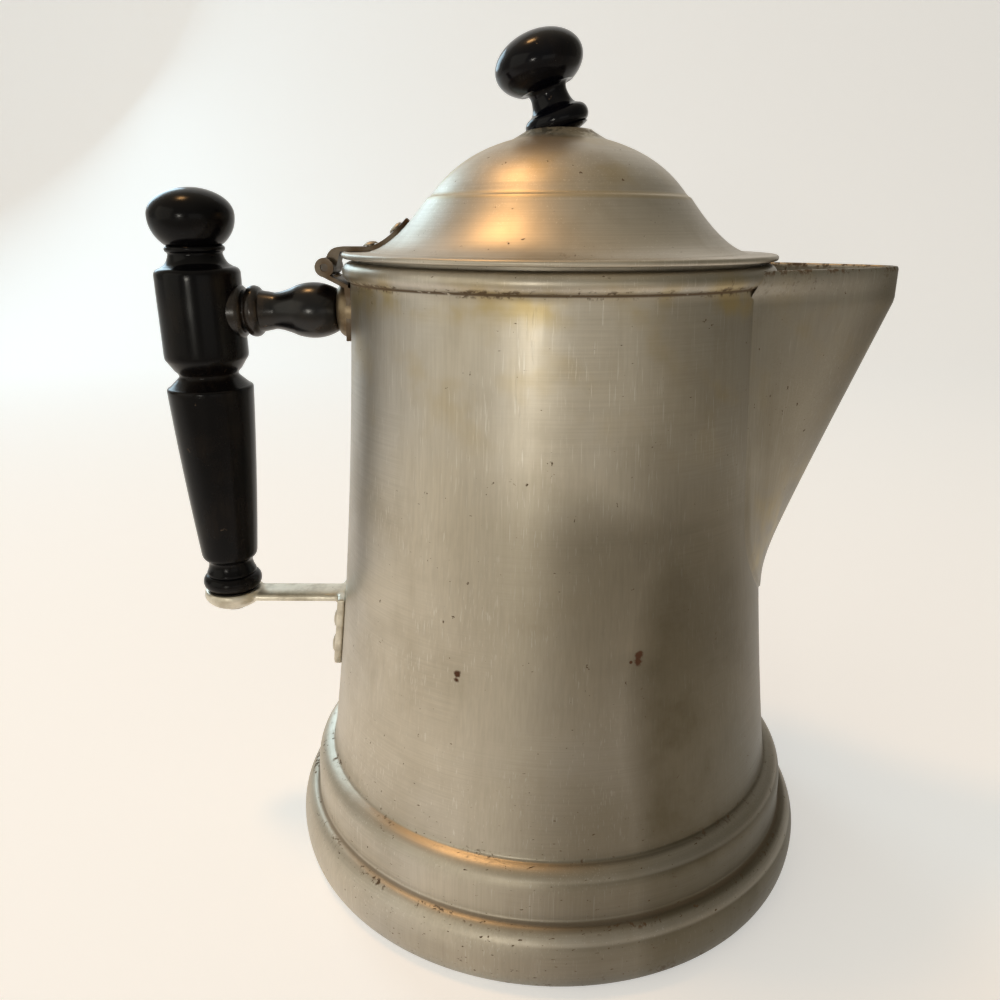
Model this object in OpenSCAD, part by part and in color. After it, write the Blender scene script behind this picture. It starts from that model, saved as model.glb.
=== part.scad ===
// Aluminium coffee pot: a spun, flared body with a welded beak spout, a hinged domed lid
// and a turned black wooden handle and knob.
// Origin: centre of the flat bottom. +X points at the spout, the handle is at -X, +Z is up.

/* [Pot body] */
// Height of the rim above the table
pot_h = 173.4; // [155:0.1:195]
// Outer radius of the wall just under the rim bead
mouth_r = 55.95; // [50:0.05:62]
// Outer radius of the wall where it meets the base shoulder
waist_r = 67.0; // [62:0.1:70]
// How far the wall bows inwards from a straight taper
wall_bow = 1.75; // [0:0.05:3]
// Thickness of the spun sheet
sheet_t = 1.2; // [0.8:0.1:1.8]
// Height of the rolled bead at the rim
bead_h = 5.2; // [4:0.1:7]
// How far the rim bead stands out of the wall
bead_out = 2.05; // [1:0.05:3]

/* [Base] */
// Height of the crease between the wall and the shoulder
crease_z = 31.3; // [26:0.1:38]
// How far the shoulder's lower edge stands out of the wall's foot
shoulder_out = 5.2; // [4:0.1:5.6]
// Drop of the rounded shoulder
shoulder_h = 8.7; // [6:0.1:9]
// Height of the groove between the shoulder and the foot bead
groove_z = 17.1; // [15:0.1:19]
// How far the bottom of that groove stands out of the wall's foot
groove_out = 6.2; // [5.7:0.1:7]
// How far the foot bead stands out of the wall's foot
foot_out = 10.4; // [9:0.1:14]
// How far the flat bottom reaches past the wall's foot
sole_out = 7.2; // [4:0.1:8]

/* [Spout] */
// Distance of the spout's top edge under the rim
spout_drop = 1.0; // [0.5:0.1:20]
// Reach of the spout's upright nose past the mouth's wall
nose_out = 37.35; // [28:0.05:46]
// Height of the upright nose
nose_h = 8.9; // [3:0.1:14]
// Slope of the keel under the nose, as run over rise
keel_slope = 0.4; // [0.3:0.002:0.46]
// Half angle that the spout covers on the wall
root_angle = 34; // [28:0.5:40]
// Height at which the spout's foot starts to round in
root_z = 112; // [104:0.5:122]
// Height of the spout's lowest point on the wall
toe_z = 81; // [72:0.5:92]
// Sharpness of the nose, as the share of the half angle that is rounded
nose_round = 0.1; // [0.05:0.01:0.2]
// Gap left for the weld between spout and wall
weld_gap = 0.08; // [0.06:0.01:0.2]
// Thickness of the spout's edge on the wall
weld_t = 0.3; // [0.2:0.05:0.6]

/* [Strainer] */
// Half width of the window in the wall behind the spout, at its top
window_w = 23; // [18:0.5:25]
// Radius of the window's round bottom
window_r = 12; // [9:0.5:14]
// Height of the window's top edge under the rim
window_drop = 13.4; // [11:0.1:18]
// Height of the window
window_h = 54; // [44:0.5:58]
// Thickness of the strainer plate
strainer_t = 0.8; // [0.5:0.1:1.2]
// Width of the strainer's margin around the window
strainer_edge = 4; // [3:0.1:5]
// Radius of a strainer hole
strainer_hole_r = 1.7; // [1:0.1:2.2]
// Distance between strainer holes
strainer_pitch = 7.2; // [5.5:0.1:9]

/* [Lid] */
// How far the lid's brim stands out of the mouth's wall
brim_over = 2.05; // [1:0.05:4]
// Thickness of the hemmed brim
brim_t = 1.5; // [1.2:0.1:2.4]
// Gap between the brim and the rim bead
lid_gap = 0.8; // [0.4:0.1:1.5]
// Thickness of the lid's sheet
lid_t = 1.0; // [0.7:0.1:1.4]
// Width of the brim, up to where it turns up into the flare
brim_w = 6.4; // [5:0.1:10]
// Width of the flare, from the brim to the ridge
flare_w = 16.4; // [13:0.1:19]
// Height of the ridge above the brim's top
ridge_h = 13.5; // [11:0.1:17]
// Width of the ridge's ledge
ridge_step = 1.0; // [0.5:0.1:1.6]
// Radius of the flat crown that the knob stands on
crown_r = 8.4; // [7.5:0.1:10]
// Height of the crown above the brim's top
crown_h = 30.7; // [27:0.1:35]
// Depth of the skirt that drops into the mouth
skirt_d = 3.2; // [2:0.1:4.5]
// Play between the skirt and the mouth
skirt_play = 0.9; // [0.6:0.1:1.5]

/* [Hinge] */
// Distance of the hinge axis behind the brim's edge
hinge_out = 4.3; // [3.8:0.1:6]
// Distance of the hinge axis under the rim
hinge_drop = 1.7; // [0.5:0.1:2.2]
// Outer radius of the knuckles
knuckle_r = 2.5; // [2.2:0.1:3]
// Radius of the hinge pin
pin_r = 1.0; // [0.7:0.05:1.3]
// Radial running clearance of the pin
pin_play = 0.05; // [0.03:0.01:0.1]
// Half width of the hinge
hinge_w = 7.6; // [6:0.1:9]
// Half width of the lid's middle knuckle
mid_w = 3.8; // [3:0.1:4.5]
// Side play between knuckles
knuckle_play = 0.25; // [0.15:0.05:0.4]
// Thickness of the hinge leaves
leaf_t = 1.2; // [0.9:0.1:1.6]

/* [Handle] */
// Distance of the grip's axis from the mouth's wall
grip_out = 42.45; // [36:0.05:50]
// Lean of the whole handle, its top away from the pot
handle_lean = 1.1; // [0:0.1:3]
// Distance of the strut's axis under the rim
strut_drop = 14.1; // [13.7:0.1:18]
// Radius of the grip's ball finial
finial_r = 11.4; // [10:0.1:14]
// Radius of the block that the strut enters
block_r = 11.5; // [10.5:0.1:14]
// Radius of the grip at its top
grip_top_r = 11.9; // [11:0.1:14]
// Radius of the grip at its lower end
grip_end_r = 8.1; // [7.2:0.1:10]
// Radius of the foot bead at the grip's lower end
grip_foot_r = 8.6; // [8:0.1:10]
// Radius of the necks in the turning
neck_r = 7.9; // [6.5:0.1:8.2]
// Height of the grip's top above the strut
grip_up = 32.8; // [29:0.1:37]
// Depth of the grip's foot under the strut
grip_down = 82.6; // [76:0.1:88]
// Largest radius of the strut
strut_r = 7.5; // [6.6:0.1:8.2]
// Radius of the strut's waist
strut_waist_r = 5.0; // [4.2:0.1:6]
// Radius of the strut's tenon in the grip
tenon_r = 4.4; // [3.6:0.1:5]
// Depth of that tenon
tenon_d = 7; // [5:0.1:8]
// Outer radius of the domed boss on the wall
boss_r = 7.8; // [7:0.1:8.2]
// Thickness of the boss at its middle
boss_t = 2.6; // [2:0.1:4]
// Radius of the steel stud inside the strut
stud_r = 2.0; // [1.5:0.1:2.5]

/* [Bracket] */
// Width of the strap under the grip
strap_w = 10; // [8:0.1:12]
// Thickness of that strap
strap_t = 2.9; // [2.2:0.1:4]
// Radius of the round pad under the grip
pad_r = 8.8; // [8.2:0.1:11]
// Depth of the pad's domed underside
pad_dome = 3.4; // [2:0.1:4.5]
// Thickness of the foot plate on the wall
plate_t = 2.3; // [1.8:0.1:3]
// Half width of the foot plate
plate_w = 9; // [7:0.1:11]
// Length of the foot plate below the strap's top
plate_h = 25; // [20:0.1:30]
// Radius of the rivets' shanks
rivet_r = 1.6; // [1.2:0.1:2]
// Radial clearance of the rivets in their holes
rivet_play = 0.2; // [0.1:0.05:0.4]

/* [Knob] */
// Lean of the knob towards the handle, from its bent screw
knob_lean = 20; // [0:0.5:22]
// Radius of the knob's ball
knob_r = 11.65; // [10:0.05:13]
// Half height of the knob's ball
knob_half_h = 7.2; // [6:0.1:9]
// Height of the ball's middle above the crown
knob_up = 17.3; // [15.5:0.1:20]
// Radius of the knob's neck
knob_neck_r = 4.8; // [4.2:0.1:5.6]
// Radius of the collar at the knob's foot
collar_r = 8.5; // [7.6:0.1:9.2]
// Radius of the knob's screw
knob_screw_r = 1.9; // [1.4:0.1:2.4]

/* [Hidden] */
$fn = 96;
eps = 0.01;
// Clearance between pieces that are seated on each other
seat = 0.05;
// Radial clearance of a screw or stud in its hole
hole_play = 0.1;
aluminium = "silver";
black_wood = [0.09, 0.08, 0.08];
steel = "slategray";

// Radii and heights that several pieces share
shoulder_r = waist_r + shoulder_out;
groove_r = waist_r + groove_out;
foot_r = waist_r + foot_out;
sole_r = waist_r + sole_out;
spout_top = pot_h - spout_drop;
nose_x = mouth_r + nose_out;
brim_r = mouth_r + brim_over;
flare_r = brim_r - brim_w;
ridge_r = flare_r - flare_w;
grip_x = mouth_r + grip_out;
strut_z = pot_h - strut_drop;
pad_z = strut_z - grip_down * cos(handle_lean) - seat;
pad_x = grip_x - grip_down * sin(handle_lean);
// Height of the strut's axis where it meets the wall
strut_root_z = strut_z + (grip_x - mouth_r) * tan(handle_lean);
rivet_zs = [pad_z - plate_h * 0.42, pad_z - plate_h * 0.76];

// Curves in the plane of a section: points are [radius, height]
function unit(v) = v / norm(v);
function arc(c, rx, rz, a0, a1, n) =
    [for (i = [0:n]) let(a = a0 + (a1 - a0) * i / n) [c[0] + rx * cos(a), c[1] + rz * sin(a)]];
function bend(a, b, c, n) =
    [for (i = [0:n]) let(t = i / n) (1 - t) * (1 - t) * a + 2 * t * (1 - t) * b + t * t * c];
function reversed(pts) = [for (i = [len(pts) - 1:-1:0]) pts[i]];
// The same curve moved sideways by t, to the left of its direction
function beside(pts, t) = [for (i = [0:len(pts) - 1])
    let(d = unit(pts[min(i + 1, len(pts) - 1)] - pts[max(i - 1, 0)])) pts[i] + t * [-d[1], d[0]]];

// Pot body
bead_mid = [mouth_r - sheet_t / 2, pot_h - bead_h / 2];
bead_reach = bead_out + sheet_t / 2;
wall_top = pot_h - bead_h;
wall_steps = 12;
mouth_in_r = mouth_r - sheet_t;
function wall_r(z) = let(s = (wall_top - z) / (wall_top - crease_z))
    mouth_r + (waist_r - mouth_r) * s - 4 * wall_bow * s * (1 - s);
function wall_slope(z) = atan((wall_r(z - 1) - wall_r(z + 1)) / 2);
// Outer line of the base and wall, from the edge of the flat bottom up to the rim bead
pot_line = concat(
    arc([sole_r, groove_z / 2], foot_r - sole_r, groove_z / 2, -90, 0, 9),
    arc([groove_r, groove_z / 2], foot_r - groove_r, groove_z / 2, 8, 76, 8),
    [[groove_r, groove_z]],
    arc([waist_r, crease_z - shoulder_h], shoulder_r - waist_r, shoulder_h, 0, 90, 10),
    [for (i = [1:wall_steps]) let(z = crease_z + (wall_top - crease_z) * i / wall_steps) [wall_r(z), z]]);
bead_line = arc(bead_mid, bead_reach, bead_h / 2, -72, 90, 14);

module pot_outside() {
    rotate_extrude() polygon(concat([[0, 0]], pot_line, bead_line, [[0, pot_h]]));
}

module pot_sheet() {
    inner = concat(beside(pot_line, sheet_t), [[mouth_in_r, pot_h - bead_h / 4]]);
    rotate_extrude()
        polygon(concat([[0, 0]], pot_line, bead_line, reversed(inner), [[0, sheet_t]]));
}

// A band of sheet that lies on the wall: from distance a to b outside it, between two heights
module wall_band(a, b, z0, z1, n = 6) {
    zs = [for (i = [0:n]) z0 + (z1 - z0) * i / n];
    rotate_extrude()
        polygon(concat([for (z = zs) [wall_r(z) + a, z]], [for (z = reversed(zs)) [wall_r(z) + b, z]]));
}

// Window behind the spout: straight sides that lean in to a round bottom
window_top = pot_h - window_drop;
window_lean = atan((window_w - window_r) / (window_h - window_r));
module window_outline(grow = 0) {
    low = window_top - window_h + window_r;
    polygon(concat([[-window_w - grow, window_top + grow]],
        arc([0, low], window_r + grow, window_r + grow, 180 + window_lean / 2, 360 - window_lean / 2, 16),
        [[window_w + grow, window_top + grow]]));
}
// A prism of that outline, facing +X
module through_window(grow, x0, x1) {
    translate([x0, 0, 0]) rotate([90, 0, 90]) linear_extrude(x1 - x0) window_outline(grow);
}

module pot_body() {
    color(aluminium) difference() {
        pot_sheet();
        through_window(0, mouth_r / 2, nose_x);
        strut_axis() cylinder(r = stud_r + hole_play, h = grip_x);
        for (z = rivet_zs) rivet_axis(z) cylinder(r = rivet_r + rivet_play, h = 20, center = true);
    }
}

// Spout: a beak whose sections bulge out of the wall, steepest at the keel
keel_z = spout_top - nose_h;
keel_n = 16;
nose_n = 4;
side_n = 12;
blend_h = 0.5;
side_bulge = 0.7;
// Share of the half angle taken by the spout's edge on the wall, and the sheet's run along the keel
edge_share = 0.07;
keel_t = 1.35 * sheet_t;
function keel_line(z) = z > keel_z ? nose_x : nose_x - keel_slope * (keel_z - z);
function keel_out(z) = let(d = keel_line(z) - wall_r(z)) (d + sqrt(d * d + 4 * blend_h * blend_h)) / 2;
function root_at(z) = z > root_z ? root_angle
    : root_angle * sqrt(max(0.004, 1 - pow((root_z - z) / (root_z - toe_z), 2)));
function rounded(u) = (sqrt(u * u + nose_round * nose_round) - nose_round)
    / (sqrt(1 + nose_round * nose_round) - nose_round);
function swell(u) = (1 - rounded(u)) * (1 - side_bulge * rounded(u));
// Radius that the spout's edges stand on: the wall, then out past the rim bead
step_z = wall_top - bead_out;
function base_r(z) = weld_gap + (z < step_z ? wall_r(z)
    : min(wall_r(step_z) + 0.62 * (z - step_z), mouth_r + bead_out));
// One section of the beak at height z, from one edge to the other
function beak_line(z, edge, out, half) = [for (i = [-side_n:side_n])
    let(u = i / side_n, r = base_r(z) + edge + (out - edge) * swell(abs(u))) [r * cos(half * u), r * sin(half * u), z]];
// The spout's edge on the wall, from one half angle to another
edge_n = 2;
function beak_edge(z, a, b) = [for (i = [1:edge_n])
    let(t = a + (b - a) * i / (edge_n + 1)) [base_r(z) * cos(t), base_r(z) * sin(t), z]];
function beak_ring(z) = let(out = keel_out(z) - base_r(z) + wall_r(z), half = root_at(z),
    inner = root_at(max(toe_z, z - sheet_t)) * (1 - edge_share)) concat(
    beak_line(z, weld_t, out, half), beak_edge(z, half, inner),
    reversed(beak_line(z, 0, max(0.02, out - keel_t), inner)), beak_edge(z, -inner, -half));
beak_zs = concat([for (i = [0:keel_n - 1]) keel_z - (keel_z - toe_z) * sin(90 * (1 - i / keel_n))],
    [for (i = [0:nose_n]) keel_z + nose_h * i / nose_n]);

// Triangles that close one end of the beak: a strip between its two lines and a fan at each edge
line_n = 2 * side_n + 1;
function inside_of(i) = 2 * line_n + edge_n - 1 - i;
beak_end = concat(
    [for (i = [0:line_n - 2]) for (f = [[i, i + 1, inside_of(i)], [i + 1, inside_of(i + 1), inside_of(i)]]) f],
    [for (i = [0:edge_n - 1]) [line_n - 1, line_n + i, line_n + i + 1]],
    [for (i = [0:edge_n - 1]) let(a = inside_of(0) + i) [0, a, a + 1]]);

module lofted(rings, end) {
    n = len(rings[0]);
    m = len(rings);
    polyhedron(
        points = [for (ring = rings) for (p = ring) p],
        faces = concat(end,
            [for (k = [0:m - 2]) for (i = [0:n - 1]) let(j = (i + 1) % n)
                for (f = [[k * n + i, (k + 1) * n + i, k * n + j], [k * n + j, (k + 1) * n + i, (k + 1) * n + j]]) f],
            [for (f = end) [for (i = reversed(f)) (m - 1) * n + i]]));
}

module spout() {
    color(aluminium) lofted([for (z = beak_zs) beak_ring(z)], beak_end);
}

// Strainer: a perforated plate that lies against the wall's inside, over the window
module spout_strainer() {
    rows = floor((window_h - window_r) / strainer_pitch);
    color(aluminium) difference() {
        intersection() {
            wall_band(-sheet_t - strainer_t - seat, -sheet_t - seat,
                window_top - window_h - 2 * strainer_edge, wall_top - 1);
            through_window(strainer_edge, mouth_r / 2, nose_x);
        }
        for (row = [0:rows]) {
            z = window_top - strainer_pitch * (row + 0.7);
            half = window_w - tan(window_lean) * (window_top - z) - strainer_hole_r;
            count = floor(half / strainer_pitch);
            shift = row % 2 == 0 ? 0 : 0.5;
            for (i = [-count:count - (shift > 0 ? 1 : 0)])
                translate([mouth_r / 2, (i + shift) * strainer_pitch, z]) rotate([0, 90, 0])
                    cylinder(r = strainer_hole_r, h = mouth_r, $fn = 32);
        }
    }
}

// Hinge
hinge_x = -brim_r - hinge_out;
hinge_z = pot_h - hinge_drop;
module hinge_axis() { translate([hinge_x, 0, hinge_z]) rotate([90, 0, 0]) children(); }
// A knuckle along Y, from y0 to y1
module knuckle(y0, y1, r) { hinge_axis() translate([0, 0, -y1]) cylinder(r = r, h = y1 - y0); }
leaf_z = strut_root_z - boss_r;

// A flat strip in the plane of the handle, spread over the hinge's width
module across(points, half) {
    rotate([90, 0, 0]) linear_extrude(2 * half, center = true) polygon(points);
}

// The body's leaf lies on the wall under the boss and slants out under the rim bead to its knuckles
slant = 27;
slant_in = [sin(slant), cos(slant)];
slant_foot = [hinge_x, hinge_z] - 0.96 * knuckle_r * slant_in;
leaf_x = -mouth_r - seat;
leaf_top = slant_foot[1] - (leaf_x - leaf_t - slant_foot[0]) * tan(slant);

module body_hinge_leaf() {
    color(aluminium) difference() {
        union() {
            intersection() {
                wall_band(seat, seat + leaf_t, leaf_z, leaf_top, 2);
                translate([-grip_x, -hinge_w, 0]) cube([grip_x, 2 * hinge_w, pot_h]);
            }
            across([slant_foot, [leaf_x - leaf_t, leaf_top], [leaf_x - leaf_t * 0.9, leaf_top - 2 * leaf_t],
                [leaf_x - leaf_t * 0.15, leaf_top - 2 * leaf_t], [leaf_x - leaf_t * 0.15, leaf_top + leaf_t * 0.6],
                slant_foot + leaf_t * slant_in], hinge_w);
            knuckle(-hinge_w, hinge_w, knuckle_r);
        }
        knuckle(-mid_w - knuckle_play, mid_w + knuckle_play, knuckle_r + leaf_t);
        knuckle(-grip_x, grip_x, pin_r + seat / 2);
        strut_axis() cylinder(r = stud_r + hole_play, h = grip_x);
    }
}

module hinge_pin() {
    color(steel) knuckle(-hinge_w + pin_r / 2, hinge_w - pin_r / 2, pin_r);
}

// Lid: brim, concave flare, ridge, dome and crown, with a skirt that drops into the mouth
brim_low = pot_h + lid_gap;
brim_top = brim_low + brim_t;
ridge_z = brim_top + ridge_h;
crown_z = brim_top + crown_h;
skirt_r = mouth_in_r - skirt_play;
dome_r = ridge_r - ridge_step;
dome_z = ridge_z + ridge_step / 2;
crown_foot = [crown_r * 1.5, crown_z - (crown_z - dome_z) * 0.15];
lid_line = concat(
    arc([brim_r - brim_t / 2, brim_low + brim_t / 2], brim_t / 2, brim_t / 2, -90, 90, 8),
    bend([flare_r, brim_top], [ridge_r + (flare_r - ridge_r) * 0.58, brim_top + ridge_h * 0.04],
        [ridge_r, ridge_z], 12),
    bend([dome_r, dome_z], [dome_r - (dome_r - crown_foot[0]) * 0.33, dome_z + (crown_foot[1] - dome_z) * 0.73],
        crown_foot, 14),
    bend([crown_foot[0] - 0.3, crown_foot[1] + 0.12], [crown_r * 1.15, crown_z - 1], [crown_r, crown_z], 5));

module lid() {
    edge = 9;
    under = [for (i = [edge:len(lid_line) - 1]) beside(lid_line, lid_t)[i]];
    color(aluminium) difference() {
        rotate_extrude() polygon(concat(lid_line, [[0, crown_z], [0, crown_z - lid_t]],
            [[crown_r - lid_t, crown_z - lid_t]], reversed(under),
            [[skirt_r - lid_t, brim_low], [skirt_r - lid_t, brim_low - skirt_d],
                [skirt_r - 0.3, brim_low - skirt_d], [skirt_r, brim_low]]));
        translate([0, 0, crown_z]) cylinder(r = knob_screw_r + hole_play, h = 4 * lid_t, center = true);
        for (i = lid_rivet_spots) lid_rivet_axis(i) cylinder(r = lid_rivet_r + rivet_play, h = 6 * lid_t, center = true);
    }
}

// The lid's leaf is a strap that lies on the brim and runs up the flare
lid_rivet_r = 1.1;
leaf_from = 8;
leaf_to = 18;
lid_rivet_spots = [10, 16];
strap_path = [for (i = [leaf_from:leaf_to]) lid_line[i]];
// Axis of a lid rivet: square to the sheet at a point of the lid's line, +Z pointing out
module lid_rivet_axis(i) {
    d = unit(lid_line[i + 1] - lid_line[i - 1]);
    translate([-lid_line[i][0], 0, lid_line[i][1]]) rotate([0, atan2(-d[1], -d[0]), 0]) children();
}

module lid_hinge_leaf() {
    z0 = brim_top + seat;
    z1 = z0 + leaf_t;
    out_x = -brim_r - leaf_t / 3;
    tip_x = -lid_line[leaf_to][0];
    color(aluminium) difference() {
        union() {
            intersection() {
                rotate_extrude() polygon(concat(beside(strap_path, -seat),
                    reversed(beside(strap_path, -seat - leaf_t))));
                translate([0, 0, pot_h]) linear_extrude(crown_z) union() {
                    translate([tip_x - mid_w, 0]) circle(r = mid_w);
                    translate([-brim_r, -mid_w]) square([brim_r + tip_x - mid_w, 2 * mid_w]);
                }
            }
            across(concat([[-brim_r + 2.5 * leaf_t, z0], [-brim_r + 2.5 * leaf_t, z1]],
                bend([out_x, z1], [hinge_x + knuckle_r * 0.4, z1], [hinge_x, hinge_z + knuckle_r], 6),
                [[hinge_x, hinge_z], [hinge_x + knuckle_r, hinge_z], [-brim_r - 0.4 * leaf_t, z0]]), mid_w);
            knuckle(-mid_w, mid_w, knuckle_r);
        }
        knuckle(-grip_x, grip_x, pin_r + pin_play);
        for (i = lid_rivet_spots) lid_rivet_axis(i) cylinder(r = lid_rivet_r + rivet_play, h = 20, center = true);
    }
}

// A rivet along +Z: shank from 0 to grip, a domed head above it and an upset tail below
module rivet(r, grip, head_h) {
    rotate_extrude() polygon(concat(
        [[0, -head_h * 0.6], [1.5 * r, -head_h * 0.6], [1.7 * r, -head_h * 0.3], [1.7 * r, -seat],
            [r, -seat], [r, grip + seat]],
        arc([0, grip + seat], 1.9 * r, head_h, 0, 90, 8)));
}

module lid_hinge_rivets() {
    grip = lid_t * 1.05 + leaf_t + 7 * seat;
    color(aluminium) for (i = lid_rivet_spots) lid_rivet_axis(i)
        translate([0, 0, -lid_t * 1.05]) rivet(lid_rivet_r, grip, 0.9);
}

// Handle
boss_back = wall_r(strut_root_z) + leaf_t + 2 * seat;
boss_face = boss_back + boss_t;
block_face = grip_x - block_r;
// Axis of the strut: x is measured outwards from the pot's axis
module strut_axis() {
    translate([-grip_x, 0, strut_z]) rotate([0, -90 - handle_lean, 0]) translate([0, 0, -grip_x]) children();
}
// Axis of the grip: height is measured from the strut
module grip_axis() { translate([-grip_x, 0, strut_z]) rotate([0, -handle_lean, 0]) children(); }

module handle_boss() {
    color(aluminium) difference() {
        strut_axis() rotate_extrude() polygon(concat([[0, mouth_r * 0.75], [boss_r, mouth_r * 0.75]],
            arc([strut_waist_r, boss_back - boss_t * 0.35], boss_r - strut_waist_r, boss_t * 1.35, 0, 90, 8),
            [[0, boss_face]]));
        wall_band(-mouth_r / 2, leaf_t + 2 * seat, strut_root_z - 2 * boss_r, pot_h);
        across([slant_foot - seat * slant_in, [leaf_x - leaf_t, leaf_top] - seat * slant_in,
            [leaf_x - leaf_t, 2 * pot_h], [slant_foot[0], 2 * pot_h]], 2 * boss_r);
        strut_axis() cylinder(r = stud_r + hole_play, h = grip_x);
    }
}

stud_in = wall_r(strut_root_z) - sheet_t - 6.5;
stud_end = grip_x - 1;
module strut_stud() {
    color(steel) strut_axis() translate([0, 0, stud_in]) cylinder(r = stud_r, h = stud_end - stud_in);
}

washer_r = 5.2;
washer_t = 1.2;
nut_t = 3;
// The flat washer touches the round wall with its edge
washer_out = sqrt(pow(wall_r(strut_root_z + washer_r) - sheet_t, 2) - washer_r * washer_r)
    - washer_r * sin(handle_lean) - seat;
module stud_washer() {
    color(steel) strut_axis() translate([0, 0, washer_out - washer_t]) difference() {
        cylinder(r = washer_r, h = washer_t);
        cylinder(r = stud_r + seat, h = 3 * washer_t, center = true);
    }
}

module stud_nut() {
    out = washer_out - washer_t - seat;
    color(steel) difference() {
        strut_axis() translate([0, 0, out - nut_t]) cylinder(r = 1.9 * stud_r, h = nut_t, $fn = 6);
        strut_axis() cylinder(r = stud_r + seat / 2, h = grip_x);
    }
}

// Strut: turned between the boss and the block, with a belly, a waist and two rings
strut_len = block_face - boss_face;
module handle_strut() {
    x0 = boss_face + seat;
    ring_x = block_face - 3.4;
    color(black_wood) difference() {
        strut_axis() rotate_extrude() polygon(concat(
            [[0, x0], [strut_waist_r, x0]],
            bend([strut_waist_r + 0.8, x0 + 0.3], [strut_r + 1.2, x0 + strut_len * 0.2],
                [strut_r - 0.6, x0 + strut_len * 0.42], 8),
            bend([strut_r - 0.7, x0 + strut_len * 0.43], [strut_waist_r, x0 + strut_len * 0.58],
                [strut_waist_r, x0 + strut_len * 0.66], 6),
            arc([strut_waist_r + 0.4, ring_x], strut_r - strut_waist_r - 0.9, 2.0, -80, 80, 10),
            [[strut_waist_r + 0.6, ring_x + 2.5]],
            arc([strut_waist_r + 0.6, ring_x + 4.2], strut_r - strut_waist_r - 0.7, 1.7, -90, 0, 6),
            [[strut_r - 0.1, block_face + block_r], [tenon_r, block_face + block_r], [0, block_face + block_r]]));
        // The outer end is cut to the round of the block, leaving the tenon
        difference() {
            grip_axis() cylinder(r = block_r + seat, h = 2 * pot_h, center = true);
            strut_axis() cylinder(r = tenon_r, h = block_face + tenon_d);
        }
        strut_axis() cylinder(r = stud_r + hole_play, h = 2 * grip_x);
    }
}

// Grip: one turning with a ball finial, the block, a tapered hand grip and a foot
module handle_grip() {
    finial_mid = grip_up - 7.2;
    neck_top = 16.6;
    block_top = 10.4;
    block_low = -12.2;
    neck_low = -18.4;
    taper_top = -21.4;
    taper_low = -71;
    foot_z = -grip_down;
    turning = concat(
        [[0, foot_z], [grip_foot_r - 1.2, foot_z]],
        arc([grip_foot_r - 2, foot_z + 2.6], 2, 2.4, -75, 75, 8),
        [[grip_foot_r - 1.3, foot_z + 5.4]],
        bend([grip_end_r - 0.9, foot_z + 5.8], [grip_end_r - 1.6, foot_z + 7.2], [grip_end_r - 1.7, taper_low - 3], 5),
        bend([grip_end_r - 1.4, taper_low - 2], [grip_end_r - 0.2, taper_low - 1.4], [grip_end_r, taper_low], 3),
        bend([grip_end_r + 0.1, taper_low + 1], [(grip_end_r + grip_top_r) / 2 + 0.5, (taper_low + taper_top) / 2],
            [grip_top_r, taper_top], 8),
        [[grip_top_r - 0.5, taper_top + 0.7], [neck_r + 0.9, neck_low + 0.1]],
        bend([neck_r + 0.3, neck_low + 0.7], [neck_r, neck_low + 1.6], [neck_r + 1.3, neck_low + 2.6], 4),
        [[block_r - 0.4, block_low - 0.8], [block_r, block_low], [block_r, block_top]],
        arc([block_r - 2.2, block_top], 2.2, 3.2, 12, 90, 6),
        bend([block_r - 2.5, block_top + 3.6], [neck_r + 0.4, block_top + 4.2], [neck_r, neck_top - 0.6], 5),
        arc([neck_r - 0.2, neck_top + 0.6], 0.7, 0.8, -70, 80, 5),
        bend([neck_r + 0.5, neck_top + 1.7], [finial_r, finial_mid - 4.5], [finial_r, finial_mid], 8),
        [for (p = arc([0, finial_mid], finial_r, grip_up - finial_mid, 9, 90, 12)) p]);
    color(black_wood) difference() {
        grip_axis() rotate_extrude() polygon(turning);
        strut_axis() cylinder(r = tenon_r + seat, h = block_face + tenon_d + seat);
        strut_axis() cylinder(r = stud_r + seat, h = stud_end + 1);
        grip_axis() translate([0, 0, -grip_down - 1]) cylinder(r = grip_screw_r + seat, h = grip_screw_h + 1);
    }
}

// Bracket: a strap with a round pad under the grip and a plate riveted to the wall
// Axis of a bracket rivet: square to the wall, +Z pointing out of the pot
module rivet_axis(z) { translate([-wall_r(z), 0, z]) rotate([0, wall_slope(z) - 90, 0]) children(); }
grip_screw_r = 1.8;
grip_screw_h = 24;
screw_head_r = 3.4;

module handle_bracket() {
    strap_end = wall_r(pad_z) - sheet_t;
    color(aluminium) difference() {
        union() {
            grip_axis() translate([0, 0, -grip_down - seat]) rotate_extrude() polygon(concat([[0, 0]],
                [[pad_r - 0.4, 0]], arc([0, -strap_t * 0.45], pad_r, strap_t * 0.55 + pad_dome, -5, -90, 10)));
            difference() {
                translate([-pad_x, 0, pad_z - strap_t]) rotate([90, 0, 90])
                    linear_extrude(pad_x - strap_end) polygon(concat(
                        [[-strap_w / 2, 0], [strap_w / 2, 0]],
                        arc([0, strap_t * 0.45], strap_w / 2, strap_t * 0.55, 0, 180, 10)));
                wall_band(-mouth_r / 2, seat, crease_z, wall_top);
            }
            intersection() {
                wall_band(seat, seat + plate_t, pad_z - plate_h, pad_z - strap_t * 0.2);
                translate([-grip_x, 0, 0]) rotate([90, 0, 90]) linear_extrude(grip_x) union() {
                    translate([0, pad_z - plate_h + plate_w]) circle(r = plate_w);
                    translate([-plate_w, pad_z - plate_h + plate_w]) square([2 * plate_w, plate_h - plate_w]);
                }
            }
        }
        for (z = rivet_zs) rivet_axis(z) cylinder(r = rivet_r + rivet_play, h = 20, center = true);
        grip_axis() cylinder(r = grip_screw_r + hole_play, h = 4 * grip_down, center = true);
        grip_axis() translate([0, 0, screw_low - seat]) screw_head(2 * seat);
    }
}

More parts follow.
